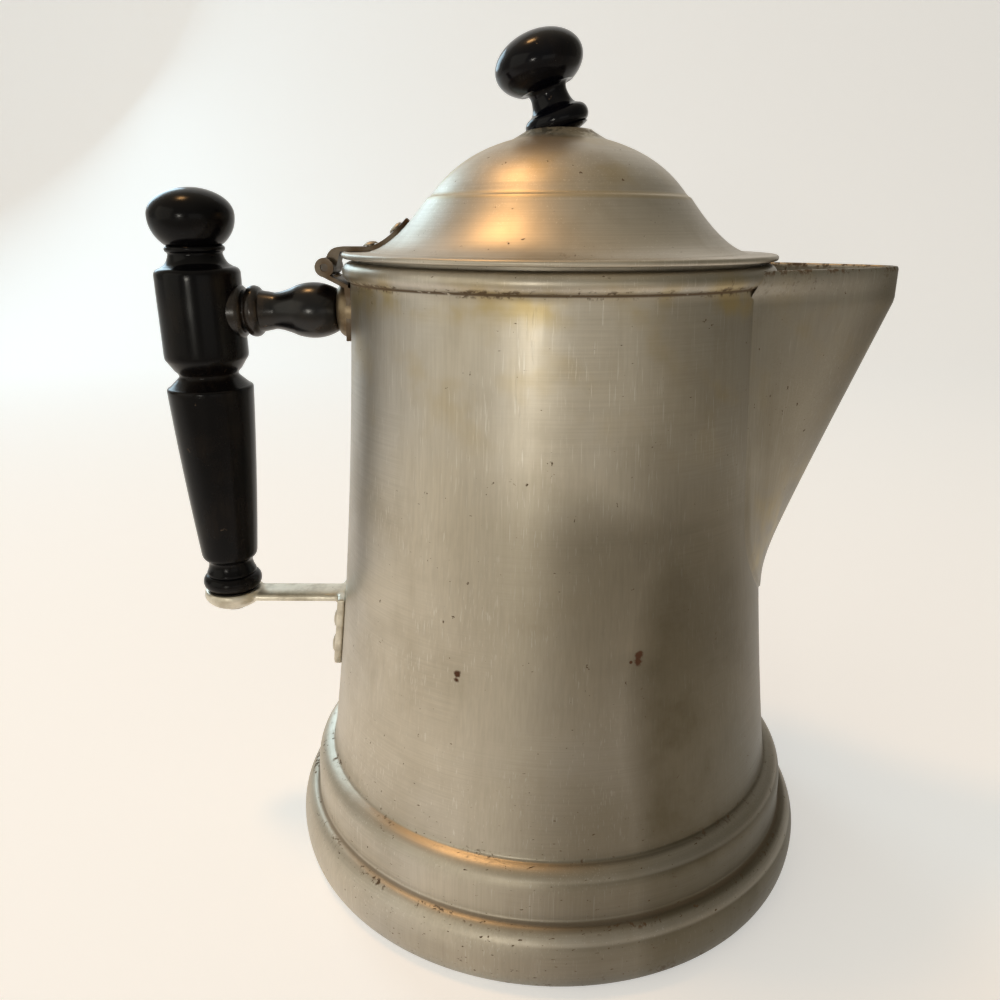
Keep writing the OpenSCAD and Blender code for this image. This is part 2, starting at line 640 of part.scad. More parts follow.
module bracket_rivets() {
    inside = sheet_t * 1.1;
    color(aluminium) for (z = rivet_zs) rivet_axis(z)
        translate([0, 0, -inside - seat]) rivet(rivet_r, inside + plate_t + 4 * seat, 1.2);
}

// Screw that holds the grip down on the pad, its head sunk flush in the pad's underside
screw_low = -grip_down - strap_t - pad_dome;
screw_head_h = 2;
module screw_head(grow = 0) {
    cylinder(r1 = screw_head_r + grow, r2 = grip_screw_r + grow, h = screw_head_h);
}
module grip_screw() {
    tip = grip_screw_h - grip_down - screw_low;
    color(steel) grip_axis() translate([0, 0, screw_low]) union() {
        screw_head();
        rotate_extrude() polygon([[0, 0], [grip_screw_r, 0], [grip_screw_r, tip - 4], [0, tip - 1]]);
    }
}

// Knob: a leaning turning on a bent screw through the crown
module knob_axis() { translate([0, 0, crown_z + seat]) rotate([0, -knob_lean, 0]) children(); }
module knob_bore(r) {
    translate([0, 0, crown_z]) sphere(r = r);
    knob_axis() cylinder(r = r, h = knob_up);
}

module lid_knob() {
    neck_z = 8.8;
    color(black_wood) difference() {
        knob_axis() rotate_extrude() polygon(concat(
            [[0, -3.6], [collar_r - 3, -3.6]],
            bend([collar_r - 2.6, -2.4], [collar_r - 1.6, -0.8], [collar_r - 0.9, -0.2], 4),
            arc([collar_r - 2, 2.3], 2, 2.4, -70, 80, 10),
            bend([collar_r - 2.2, 5], [knob_neck_r + 0.3, 5.6], [knob_neck_r, neck_z], 8),
            bend([knob_neck_r + 0.1, neck_z + 0.8], [knob_neck_r + 0.8, neck_z + 2.4],
                [knob_r * cos(-52), knob_up + knob_half_h * sin(-52)], 4),
            arc([0, knob_up], knob_r, knob_half_h, -48, 90, 22)));
        rotate_extrude() polygon(concat([[0, 0], [brim_r, 0]], [for (p = lid_line) p + [0, seat]], [[0, crown_z + seat]]));
        knob_bore(knob_screw_r + seat);
    }
}

module knob_screw() {
    head_z = crown_z - lid_t - knob_washer_t - 2 * seat;
    color(steel) union() {
        translate([0, 0, head_z]) rotate_extrude() polygon(concat(
            [[0, crown_z - head_z], [knob_screw_r, crown_z - head_z], [knob_screw_r, 0]],
            arc([0, 0], 2.1 * knob_screw_r, 2.2, 0, -90, 6)));
        translate([0, 0, crown_z]) sphere(r = knob_screw_r);
        knob_axis() cylinder(r = knob_screw_r, h = knob_up - 1);
    }
}

knob_washer_t = 1.0;
module knob_washer() {
    color(aluminium) translate([0, 0, crown_z - lid_t - seat - knob_washer_t]) difference() {
        cylinder(r = crown_r - 2 * lid_t, h = knob_washer_t);
        cylinder(r = knob_screw_r + seat, h = 4 * knob_washer_t, center = true);
    }
}

pot_body();
spout();
spout_strainer();
body_hinge_leaf();
hinge_pin();
handle_boss();
strut_stud();
stud_washer();
stud_nut();
handle_strut();
handle_grip();
handle_bracket();
bracket_rivets();
grip_screw();
lid();
lid_hinge_leaf();
lid_hinge_rivets();
lid_knob();
knob_screw();
knob_washer();
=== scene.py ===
"""Dresses the aluminium coffee pot: spun body and lid, welded spout, hinge, turned handle and knob."""

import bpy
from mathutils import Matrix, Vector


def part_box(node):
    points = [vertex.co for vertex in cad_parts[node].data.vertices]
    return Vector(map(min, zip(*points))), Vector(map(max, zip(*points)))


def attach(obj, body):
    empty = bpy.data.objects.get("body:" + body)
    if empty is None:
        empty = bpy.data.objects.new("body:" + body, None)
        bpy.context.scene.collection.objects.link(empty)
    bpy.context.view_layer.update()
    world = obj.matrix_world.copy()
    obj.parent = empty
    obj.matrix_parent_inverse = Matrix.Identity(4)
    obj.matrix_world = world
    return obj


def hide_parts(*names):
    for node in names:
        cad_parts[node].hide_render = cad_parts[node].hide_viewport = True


bl_info = {
    "name": "Aluminium Coffee Pot",
    "version": (1, 0, 0),
    "blender": (4, 5, 0),
    "location": "3D View > Sidebar > Coffee Pot",
    "description": "Builds the looks of a spun aluminium coffee pot around its packed frame",
    "category": "Object",
}

import math

import bmesh
import bpy
from bpy.props import FloatProperty, FloatVectorProperty, PointerProperty
from mathutils import Matrix, Vector, noise

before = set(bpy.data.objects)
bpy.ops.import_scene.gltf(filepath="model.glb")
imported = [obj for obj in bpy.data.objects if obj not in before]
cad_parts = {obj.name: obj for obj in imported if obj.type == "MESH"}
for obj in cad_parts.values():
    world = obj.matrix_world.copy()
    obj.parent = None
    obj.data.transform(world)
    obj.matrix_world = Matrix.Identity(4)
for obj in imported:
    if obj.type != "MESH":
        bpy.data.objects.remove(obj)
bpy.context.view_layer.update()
POT_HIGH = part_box("pot_body")[1]
SPOUT_LOW, SPOUT_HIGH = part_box("spout")

MM = 0.001
TURN = 2 * math.pi
ON_AXIS = 1e-6
SEAT = 0.05 * MM


def length(label, default, description):
    """A size in metres, given here in millimetres."""
    return FloatProperty(
        name=label,
        description=description,
        default=default * MM,
        unit="LENGTH",
        subtype="DISTANCE",
        precision=5,
    )


def angle(label, degrees, description):
    """An angle, given here in degrees."""
    return FloatProperty(
        name=label,
        description=description,
        default=math.radians(degrees),
        unit="ROTATION",
        subtype="ANGLE",
    )


def colour(label, default, description):
    """A colour in linear light."""
    return FloatVectorProperty(
        name=label, description=description, default=default, subtype="COLOR", size=3, min=0.0, max=1.0
    )


def number(label, default, description):
    """A plain factor."""
    return FloatProperty(name=label, description=description, default=default, subtype="FACTOR")


def watts(label, default, description):
    """The power of a lamp."""
    return FloatProperty(name=label, description=description, default=default, unit="POWER")


class ShellSizes(bpy.types.PropertyGroup):
    """Sizes of the spun body."""

    rim: length("Rim height", POT_HIGH.z / MM, "Height of the rim above the table")
    mouth: length("Mouth radius", 55.95, "Outer radius of the wall just under the rim bead")
    waist: length("Waist radius", 67.0, "Outer radius of the wall where it meets the shoulder")
    bow: length("Wall bow", 1.75, "How far the wall bows inwards from a straight taper")
    sheet: length("Sheet", 1.2, "Thickness of the spun sheet")
    bead_h: length("Bead height", 5.2, "Height of the rolled bead at the rim")
    bead_out: length("Bead reach", 2.05, "How far the rim bead stands out of the wall")
    crease: length("Crease height", 31.3, "Height of the crease between wall and shoulder")
    fillet: length("Crease rounding", 0.6, "Height over which the wall turns out into the shoulder")
    ledge_lean: angle("Ledge lean", 77.0, "Angle of the ledges' tops at the creases to the pot's axis")
    shoulder_run: length("Shoulder run", 3.1, "Pull of the shoulder's flat top on its curve")
    foot_run: length("Foot run", 2.7, "Pull of the foot's flat top on its curve")
    ledge_side: length("Ledge side", 3.9, "Pull of the ledges' upright sides on their curves")
    shoulder: length("Shoulder radius", 72.2, "Outer radius of the shoulder at its lower edge")
    shoulder_h: length("Shoulder drop", 8.7, "Drop of the rounded shoulder")
    groove: length("Groove height", 17.1, "Height of the groove over the foot bead")
    groove_r: length("Groove radius", 73.2, "Radius at the bottom of the groove")
    foot: length("Foot radius", POT_HIGH.x / MM, "Outer radius of the foot bead")
    sole: length("Sole radius", 74.2, "Radius of the flat bottom")
    ripple: length("Wall ripple", 0.07, "Unevenness of the old hand-worn wall")
    window_w: length("Window half width", 23.0, "Half width of the strainer window at its top")
    window_r: length("Window rounding", 12.0, "Radius of the window's round bottom")
    window_drop: length("Window drop", 13.4, "Distance of the window's top under the rim")
    window_h: length("Window height", 54.0, "Height of the strainer window")


class SpoutSizes(bpy.types.PropertyGroup):
    """Sizes of the beak spout."""

    top: length("Top height", SPOUT_HIGH.z / MM, "Height of the spout's top edge")
    nose: length("Nose reach", SPOUT_HIGH.x / MM, "Reach of the upright nose from the pot's axis")
    nose_h: length("Nose height", 8.9, "Height of the upright nose")
    keel: number("Keel slope", 0.4, "Slope of the keel, as run over rise")
    root: angle("Root half angle", 34.0, "Half angle that the spout covers on the wall")
    root_z: length("Root height", 112.0, "Height at which the foot starts to round in")
    toe: length("Toe height", SPOUT_LOW.z / MM, "Height of the lowest point on the wall")
    sharp: number("Nose rounding", 0.1, "Share of the half angle that is rounded at the keel")
    bulge: number("Side bulge", 0.7, "How much the sides hollow towards the wall")
    weld: length("Weld rounding", 0.55, "Height of the soft weld in the valley at the wall")


class LidSizes(bpy.types.PropertyGroup):
    """Sizes of the domed lid."""

    brim: length("Brim radius", 58.0, "Outer radius of the brim")
    brim_t: length("Brim thickness", 1.5, "Thickness of the hemmed brim")
    gap: length("Lid gap", 0.8, "Gap between the brim and the rim")
    sheet: length("Lid sheet", 1.0, "Thickness of the lid's sheet")
    flare: length("Flare radius", 51.6, "Radius at which the brim turns up")
    ridge: length("Ridge radius", 35.2, "Radius of the ridge between flare and dome")
    ridge_h: length("Ridge height", 13.5, "Height of the ridge above the brim")
    ledge: length("Ridge ledge", 1.0, "Width of the ridge's ledge")
    crown: length("Crown radius", 8.4, "Radius of the flat crown under the knob")
    crown_h: length("Crown height", 30.7, "Height of the crown above the brim")
    skirt: length("Skirt depth", 3.2, "Depth of the skirt that drops into the mouth")
    skirt_play: length("Skirt play", 0.9, "Play between the skirt and the mouth")
    ripple: length("Lid ripple", 0.05, "Unevenness of the old lid")


class HandleSizes(bpy.types.PropertyGroup):
    """Sizes of the turned handle and its bracket."""

    reach: length("Grip reach", 98.4, "Distance of the grip's axis from the pot's axis")
    lean: angle("Handle lean", 1.1, "Lean of the handle, its top away from the pot")
    drop: length("Strut drop", 14.1, "Distance of the strut's axis under the rim")
    finial: length("Finial radius", 11.4, "Radius of the ball finial")
    block: length("Block radius", 11.5, "Radius of the block that the strut enters")
    grip: length("Grip top radius", 11.9, "Radius of the hand grip at its top")
    grip_end: length("Grip end radius", 8.1, "Radius of the hand grip at its lower end")
    foot: length("Grip foot radius", 8.6, "Radius of the bead at the grip's foot")
    neck: length("Neck radius", 7.9, "Radius of the necks in the turning")
    up: length("Grip rise", 32.8, "Height of the finial's top above the strut")
    down: length("Grip depth", 82.6, "Depth of the grip's foot under the strut")
    strut: length("Strut radius", 7.5, "Largest radius of the strut")
    waist: length("Strut waist", 5.0, "Radius of the strut's waist")
    boss: length("Boss radius", 7.8, "Outer radius of the boss on the wall")
    boss_t: length("Boss thickness", 2.6, "Thickness of the boss")
    leaf: length("Leaf thickness", 1.2, "Thickness of the hinge leaf under the boss")
    strap_w: length("Strap width", 10.0, "Width of the bracket's strap")
    strap_t: length("Strap thickness", 2.9, "Thickness of the bracket's strap")
    pad: length("Pad radius", 8.8, "Radius of the pad under the grip")
    pad_dome: length("Pad dome", 3.4, "Depth of the pad's domed underside")
    plate_t: length("Plate thickness", 2.3, "Thickness of the foot plate on the wall")
    plate_w: length("Plate half width", 9.0, "Half width of the foot plate")
    plate_h: length("Plate length", 25.0, "Length of the foot plate")


class KnobSizes(bpy.types.PropertyGroup):
    """Sizes of the lid's knob."""

    lean: angle("Knob lean", 20.0, "Lean of the knob on its bent screw")
    ball: length("Ball radius", 11.65, "Radius of the knob's ball")
    ball_h: length("Ball half height", 7.8, "Half height of the knob's ball")
    up: length("Ball height", 16.7, "Height of the ball's middle above the crown")
    neck: length("Neck radius", 4.8, "Radius of the knob's neck")
    collar: length("Collar radius", 8.5, "Radius of the collar at the knob's foot")


class Finishes(bpy.types.PropertyGroup):
    """Colours of the finishes."""

    aluminium: colour("Aluminium", (0.60, 0.545, 0.45), "Worn satin aluminium")
    tarnish: colour("Tarnish", (0.36, 0.31, 0.225), "Olive brown tarnish on the aluminium")
    dirt: colour("Dirt", (0.085, 0.047, 0.019), "Brown dirt in creases and pits")
    # This colour also paints the shade line along the lid's ridge
    stain_and_shade: colour("Stain", (0.46, 0.35, 0.15), "Yellow stains under the rim bead, on spout and lid")
    rust: colour("Rust", (0.082, 0.027, 0.007), "Two rust spots on the wall")
    cast: colour("Cast aluminium", (0.74, 0.69, 0.58), "Brighter cast aluminium of the bracket")
    hinge: colour("Hinge metal", (0.135, 0.11, 0.085), "Dark old metal of the hinge")
    boss: colour("Boss metal", (0.26, 0.205, 0.135), "Brown tarnished boss behind the strut")
    ebony: colour("Ebonised wood", (0.0030, 0.0029, 0.0038), "Black wood of the handle")
    lightened: colour("Rubbed wood", (0.055, 0.036, 0.022), "Brown where hands rubbed the black off")
    steel: colour("Steel", (0.33, 0.32, 0.30), "Screws, nut and washers")


class StageSettings(bpy.types.PropertyGroup):
    """Camera, floor and lamps."""

    floor: colour("Floor", (0.86, 0.855, 0.84), "Pale floor round the pot")
    floor_far: colour("Floor far", (0.58, 0.56, 0.51), "Dimmer floor in front of the pot and to its right")
    room: colour("Room", (0.315, 0.30, 0.262), "Dim light of the room at eye level")
    ceiling: colour("Ceiling", (0.44, 0.395, 0.315), "Light of the ceiling")
    shade: colour("Shade", (0.19, 0.177, 0.14), "Dimmer light at the far side from the window")
    glow: number("Floor glow", 0.42, "How much paler the floor is shown than the lamps make it")
    key_power: watts("Window lamp", 1.8, "Power of the big soft lamp at the handle's side")
    strip_power: watts("Strip lamp", 1.55, "Power of the small low lamp in front")
    fill_power: watts("Fill lamp", 0.26, "Power of the weak lamp in front of the spout")
    warm_power: watts("Warm lamp", 1.55, "Power of the warm lamp overhead")
    cool_power: watts("Cool lamp", 3.7, "Power of the cool lamp behind the handle")
    lens: FloatProperty(name="Lens", description="Focal length", default=31.32, unit="CAMERA")
    camera: FloatVectorProperty(
        name="Camera place",
        description="Where the camera stands",
        default=(-0.0153, -0.2465, 0.1829),
        subtype="XYZ",
        unit="LENGTH",
        size=3,
        precision=5,
    )
    pitch: angle("Camera pitch", 17.6, "How far the camera looks down")
    roll: angle("Camera roll", 0.2, "Roll of the camera")


class PotSettings(bpy.types.PropertyGroup):
    """All settings of the coffee pot."""

    shell: PointerProperty(type=ShellSizes, name="Body")
    spout: PointerProperty(type=SpoutSizes, name="Spout")
    lid: PointerProperty(type=LidSizes, name="Lid")
    handle: PointerProperty(type=HandleSizes, name="Handle")
    knob: PointerProperty(type=KnobSizes, name="Knob")
    finish: PointerProperty(type=Finishes, name="Finishes")
    stage: PointerProperty(type=StageSettings, name="Stage")


def settings():
    """The settings of the current scene."""
    return bpy.context.scene.coffee_pot


def arc(centre, reach_r, reach_z, start, stop, steps):
    """Points (radius, height) on an ellipse, angles in degrees."""
    points = []
    for i in range(steps + 1):
        a = math.radians(start + (stop - start) * i / steps)
        points.append((centre[0] + reach_r * math.cos(a), centre[1] + reach_z * math.sin(a)))
    return points


def bend(a, b, c, steps):
    """Points on a curve that leaves a towards b and arrives at c from b."""
    points = []
    for i in range(steps + 1):
        t = i / steps
        wa, wb, wc = (1 - t) ** 2, 2 * t * (1 - t), t * t
        points.append((wa * a[0] + wb * b[0] + wc * c[0], wa * a[1] + wb * b[1] + wc * c[1]))
    return points


def beside(line, gap):
    """The same line moved to its left by gap."""
    moved = []
    for i, (r, z) in enumerate(line):
        before = line[max(i - 1, 0)]
        after = line[min(i + 1, len(line) - 1)]
        dr, dz = after[0] - before[0], after[1] - before[1]
        size = math.hypot(dr, dz)
        moved.append((r - gap * dz / size, z + gap * dr / size))
    return moved


def eased(line, passes):
    """The same line with its corners worn soft."""
    for _ in range(passes):
        trios = zip(line, line[1:], line[2:])
        inner = [((a[0] + 2 * b[0] + c[0]) / 4, (a[1] + 2 * b[1] + c[1]) / 4) for a, b, c in trios]
        line = [line[0]] + inner + [line[-1]]
    return line


def step(value, low, high):
    """Smooth step from 0 at low to 1 at high."""
    t = min(1.0, max(0.0, (value - low) / (high - low)))
    return t * t * (3 - 2 * t)


def softened(depth, rounding):
    """The positive part of depth, with a rounded corner at zero."""
    return (depth + math.sqrt(depth * depth + 4 * rounding * rounding)) / 2


def joined(bm, lower, upper, slot_index=0):
    """Quads, or triangles at a pole, between two rings of points."""
    count = max(len(lower), len(upper))
    for k in range(count):
        n = (k + 1) % count
        below = [lower[k % len(lower)], lower[n % len(lower)]]
        above = [upper[n % len(upper)], upper[k % len(upper)]]
        face = bm.faces.new(list(dict.fromkeys(below + above)))
        face.material_index = slot_index


def spun(bm, line, segments, closed=False, moved=None, matrix=None, inside_from=None):
    """Turns a line of (radius, height) points about Z, with the second material from row inside_from on."""
    rings = []
    for radius, height in line:
        ring = []
        for k in range(1 if radius < ON_AXIS else segments):
            a = TURN * k / segments
            point = Vector((radius * math.cos(a), radius * math.sin(a), height))
            if moved and radius >= ON_AXIS:
                point = moved(point)
            ring.append(bm.verts.new(matrix @ point if matrix else point))
        rings.append(ring)
    pairs = list(zip(rings, rings[1:]))
    if closed:
        pairs.append((rings[-1], rings[0]))
    for row, (lower, upper) in enumerate(pairs):
        if len(lower) + len(upper) > 2:
            joined(bm, lower, upper, 1 if inside_from is not None and row >= inside_from else 0)


def crisp(mesh, degrees):
    """Smooth faces, with edges sharper than the given angle left crisp."""
    bm = bmesh.new()
    bm.from_mesh(mesh)
    bmesh.ops.recalc_face_normals(bm, faces=bm.faces)
    limit = math.radians(degrees)
    for face in bm.faces:
        face.smooth = True
    for edge in bm.edges:
        edge.smooth = not (len(edge.link_faces) == 2 and edge.calc_face_angle(0.0) > limit)
    bm.to_mesh(mesh)
    bm.free()


def to_object(bm, name):
    """A new object from a bmesh."""
    mesh = bpy.data.meshes.new(name)
    bmesh.ops.recalc_face_normals(bm, faces=bm.faces)
    bm.to_mesh(mesh)
    bm.free()
    piece = bpy.data.objects.new(name, mesh)
    bpy.context.scene.collection.objects.link(piece)
    return piece


def baked(piece):
    """Replaces a piece's mesh by the one that its modifiers make."""
    graph = bpy.context.evaluated_depsgraph_get()
    graph.update()
    mesh = bpy.data.meshes.new_from_object(piece.evaluated_get(graph))
    old = piece.data
    piece.modifiers.clear()
    piece.data = mesh
    bpy.data.meshes.remove(old)
    mesh.name = piece.name


def dressed(piece, body, slot_name, materials, *nodes, sharp=38.0):
    """Finishes a piece: materials, shading, the body it rides on and the CAD nodes it stands for."""
    piece.data.materials.clear()
    for material in materials:
        piece.data.materials.append(material)
    crisp(piece.data, sharp)
    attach(piece, body)
    if nodes:
        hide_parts(*nodes)
    return piece


def painted(material, *nodes):
    """Gives CAD nodes that stay a better material."""
    for name in nodes:
        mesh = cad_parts[name].data
        mesh.materials.clear()
        mesh.materials.append(material)


class Surface:
    """Adds shader nodes to one material and links them."""

    def __init__(self, name):
        self.material = bpy.data.materials.new(name)
        self.material.use_nodes = True
        self.tree = self.material.node_tree
        self.tree.nodes.clear()
        self.shader = self.add("ShaderNodeBsdfPrincipled")
        out = self.add("ShaderNodeOutputMaterial")
        self.tree.links.new(self.shader.outputs[0], out.inputs[0])
        self.place = self.add("ShaderNodeTexCoord").outputs["Object"]
        split = self.add("ShaderNodeSeparateXYZ", {0: self.place})
        self.x, self.y, self.z = split.outputs
        squares = [self.math("MULTIPLY", part, part) for part in (self.x, self.y)]
        self.radius = self.math("SQRT", self.math("ADD", *squares))

    def add(self, kind, inputs=None, **choices):
        node = self.tree.nodes.new(kind)
        for key, value in choices.items():
            setattr(node, key, value)
        for key, value in (inputs or {}).items():
            self.feed(node.inputs[key], value)
        return node

    def feed(self, socket, value):
        if isinstance(value, bpy.types.NodeSocket):
            self.tree.links.new(value, socket)
        else:
            socket.default_value = value

    def math(self, operation, a, b=0.0, c=0.0):
        return self.add("ShaderNodeMath", {0: a, 1: b, 2: c}, operation=operation).outputs[0]

    def vector(self, operation, a, b):
        return self.add("ShaderNodeVectorMath", {0: a, 1: b}, operation=operation).outputs[0]

    def scaled(self, sx, sy, sz, turn=(0.0, 0.0, 0.0)):
        """The object's place, turned and stretched."""
        turned = tuple(math.radians(t) for t in turn)
        inputs = {"Vector": self.place, "Rotation": turned, "Scale": (sx, sy, sz)}
        return self.add("ShaderNodeMapping", inputs).outputs[0]

    def rings(self, fine, along):
        """A place that runs fast along radius and height, and slowly round the axis."""
        parts = {
            0: self.math("MULTIPLY_ADD", self.radius, fine, self.math("MULTIPLY", self.x, along)),
            1: self.math("MULTIPLY", self.z, fine),
            2: self.math("MULTIPLY", self.y, along),
        }
        return self.add("ShaderNodeCombineXYZ", parts).outputs[0]

    def noise(self, vector, scale=1.0, detail=3.0, rough=0.55):
        inputs = {"Vector": vector, "Scale": scale, "Detail": detail, "Roughness": rough}
        return self.add("ShaderNodeTexNoise", inputs).outputs["Fac"]

    def ramp(self, value, low, high, to_low=0.0, to_high=1.0):
        inputs = {"Value": value, "From Min": low, "From Max": high, "To Min": to_low, "To Max": to_high}
        return self.add("ShaderNodeMapRange", inputs, interpolation_type="SMOOTHSTEP").outputs[0]

    def band(self, value, middle, half, soft):
        """1 within half of the middle value, fading to 0 over soft."""
        off = self.math("ABSOLUTE", self.math("SUBTRACT", value, middle))
        return self.ramp(off, half, half + soft, 1.0, 0.0)

    def mix(self, share, a, b):
        node = self.add("ShaderNodeMix", data_type="RGBA")
        for index, value in ((0, share), (6, a), (7, b)):
            self.feed(node.inputs[index], (*value, 1.0) if isinstance(value, tuple) else value)
        return node.outputs[2]

    def most(self, *values):
        top = values[0]
        for value in values[1:]:
            top = self.math("MAXIMUM", top, value)
        return top

    def product(self, *values):
        result = values[0]
        for value in values[1:]:
            result = self.math("MULTIPLY", result, value)
        return result

    def bump(self, height, depth, strength):
        inputs = {"Height": height, "Distance": depth, "Strength": strength}
        return self.add("ShaderNodeBump", inputs).outputs[0]

    def pits(self, scale, size, share):
        """Small round pits in some cells of a grid of random points, slightly drawn out."""
        wobble = self.add("ShaderNodeTexNoise", {"Vector": self.place, "Scale": 2.5 * scale})
        shift = self.vector("MULTIPLY", wobble.outputs["Color"], (1.2 / scale,) * 3)
        spot = self.vector("ADD", self.place, shift)
        cells = self.add("ShaderNodeTexVoronoi", {"Vector": spot, "Scale": scale})
        chosen = self.add("ShaderNodeSeparateColor", {0: cells.outputs["Color"]}).outputs
        near = self.ramp(cells.outputs["Distance"], size * 0.4, size, 1.0, 0.0)
        return self.product(near, self.ramp(chosen[0], 1.0 - share, 1.0 - share * 0.9))

    def scratches(self, turn, low):
        """Sparse fine lines along one direction."""
        line = self.noise(self.scaled(2700.0, 2700.0, 11.0, turn), detail=1.0)
        where = self.noise(self.scaled(48.0, 48.0, 48.0, turn), detail=2.0)
        return self.product(self.ramp(line, low, low + 0.05), self.ramp(where, 0.46, 0.60))

    def flecks(self, fine, along, low, more=0.0):
        """Small hard specks drawn out round the axis, more of them where more is high."""
        grain = self.noise(self.rings(fine, along), detail=2.0, rough=0.5)
        return self.ramp(self.math("ADD", grain, more), low, low + 0.035)


# Share of the tarnish's colour that is left under the painted shade
SHADE_SHARE = (0.23, 0.215, 0.16)


def body_painted_shade(s, cloud):
    """Share of the painted shade that darkens the body where its reflections should be dark, mostly at the
    spout's side; it is thinned on the ledges' edges, which shows as painted highlights.

    It is a patch on the front, one beside the spout, a thin veil above, and two on the shoulder and foot.
    """
    p = settings().shell
    rise = s.most(s.ramp(s.z, 62 * MM, 106 * MM, 0.62, 0.72), s.ramp(s.z, 38 * MM, 62 * MM, 0.85, 0.62))
    front = s.product(s.ramp(s.x, -34 * MM, 10 * MM), rise, s.ramp(s.z, 112 * MM, 132 * MM, 1.0, 0.0))
    side = s.product(s.ramp(s.x, -2 * MM, 26 * MM), s.ramp(s.z, 80 * MM, 170 * MM, 1.0, 0.0))
    upper = s.ramp(s.x, 8 * MM, 50 * MM, 0.0, 0.52)
    facing = s.math("MULTIPLY_ADD", s.x, 0.50, s.math("MULTIPLY", s.y, -0.86))
    foot = s.product(s.ramp(facing, 34 * MM, 70 * MM), s.ramp(s.z, 30 * MM, 75 * MM, 0.70, 0.0))
    sole = s.product(s.ramp(facing, 5 * MM, 50 * MM, 0.0, 0.35), s.ramp(s.z, 8 * MM, 16 * MM, 1.0, 0.0))
    painted_shade = s.product(s.most(front, side, upper, foot, sole), s.ramp(cloud, 0.30, 0.62, 0.95, 0.84))
    # Painted highlights: the painted shade is thinned on the ledges' edges just under the crease and the
    # groove
    for height in (p.crease - 1.6 * MM, p.groove - 2.0 * MM):
        lightened = s.band(s.z, height, 0.6 * MM, 1.4 * MM)
        painted_shade = s.product(painted_shade, s.ramp(lightened, 0.0, 1.0, 1.0, 0.55))
    return painted_shade


def spout_painted_shade(s, cloud):
    """Share of the painted shade on the spout: thickest along the keel and at the toe."""
    p = settings().spout
    keel_x = s.math("MULTIPLY_ADD", s.z, p.keel, p.nose - p.keel * (p.top - p.nose_h))
    keel = s.ramp(s.math("SUBTRACT", keel_x, s.x), 1 * MM, 18 * MM, 0.82, 0.30)
    toe = s.ramp(s.z, 96 * MM, 145 * MM, 0.70, 0.0)
    return s.product(s.most(keel, toe), s.ramp(cloud, 0.30, 0.62, 1.0, 0.84))


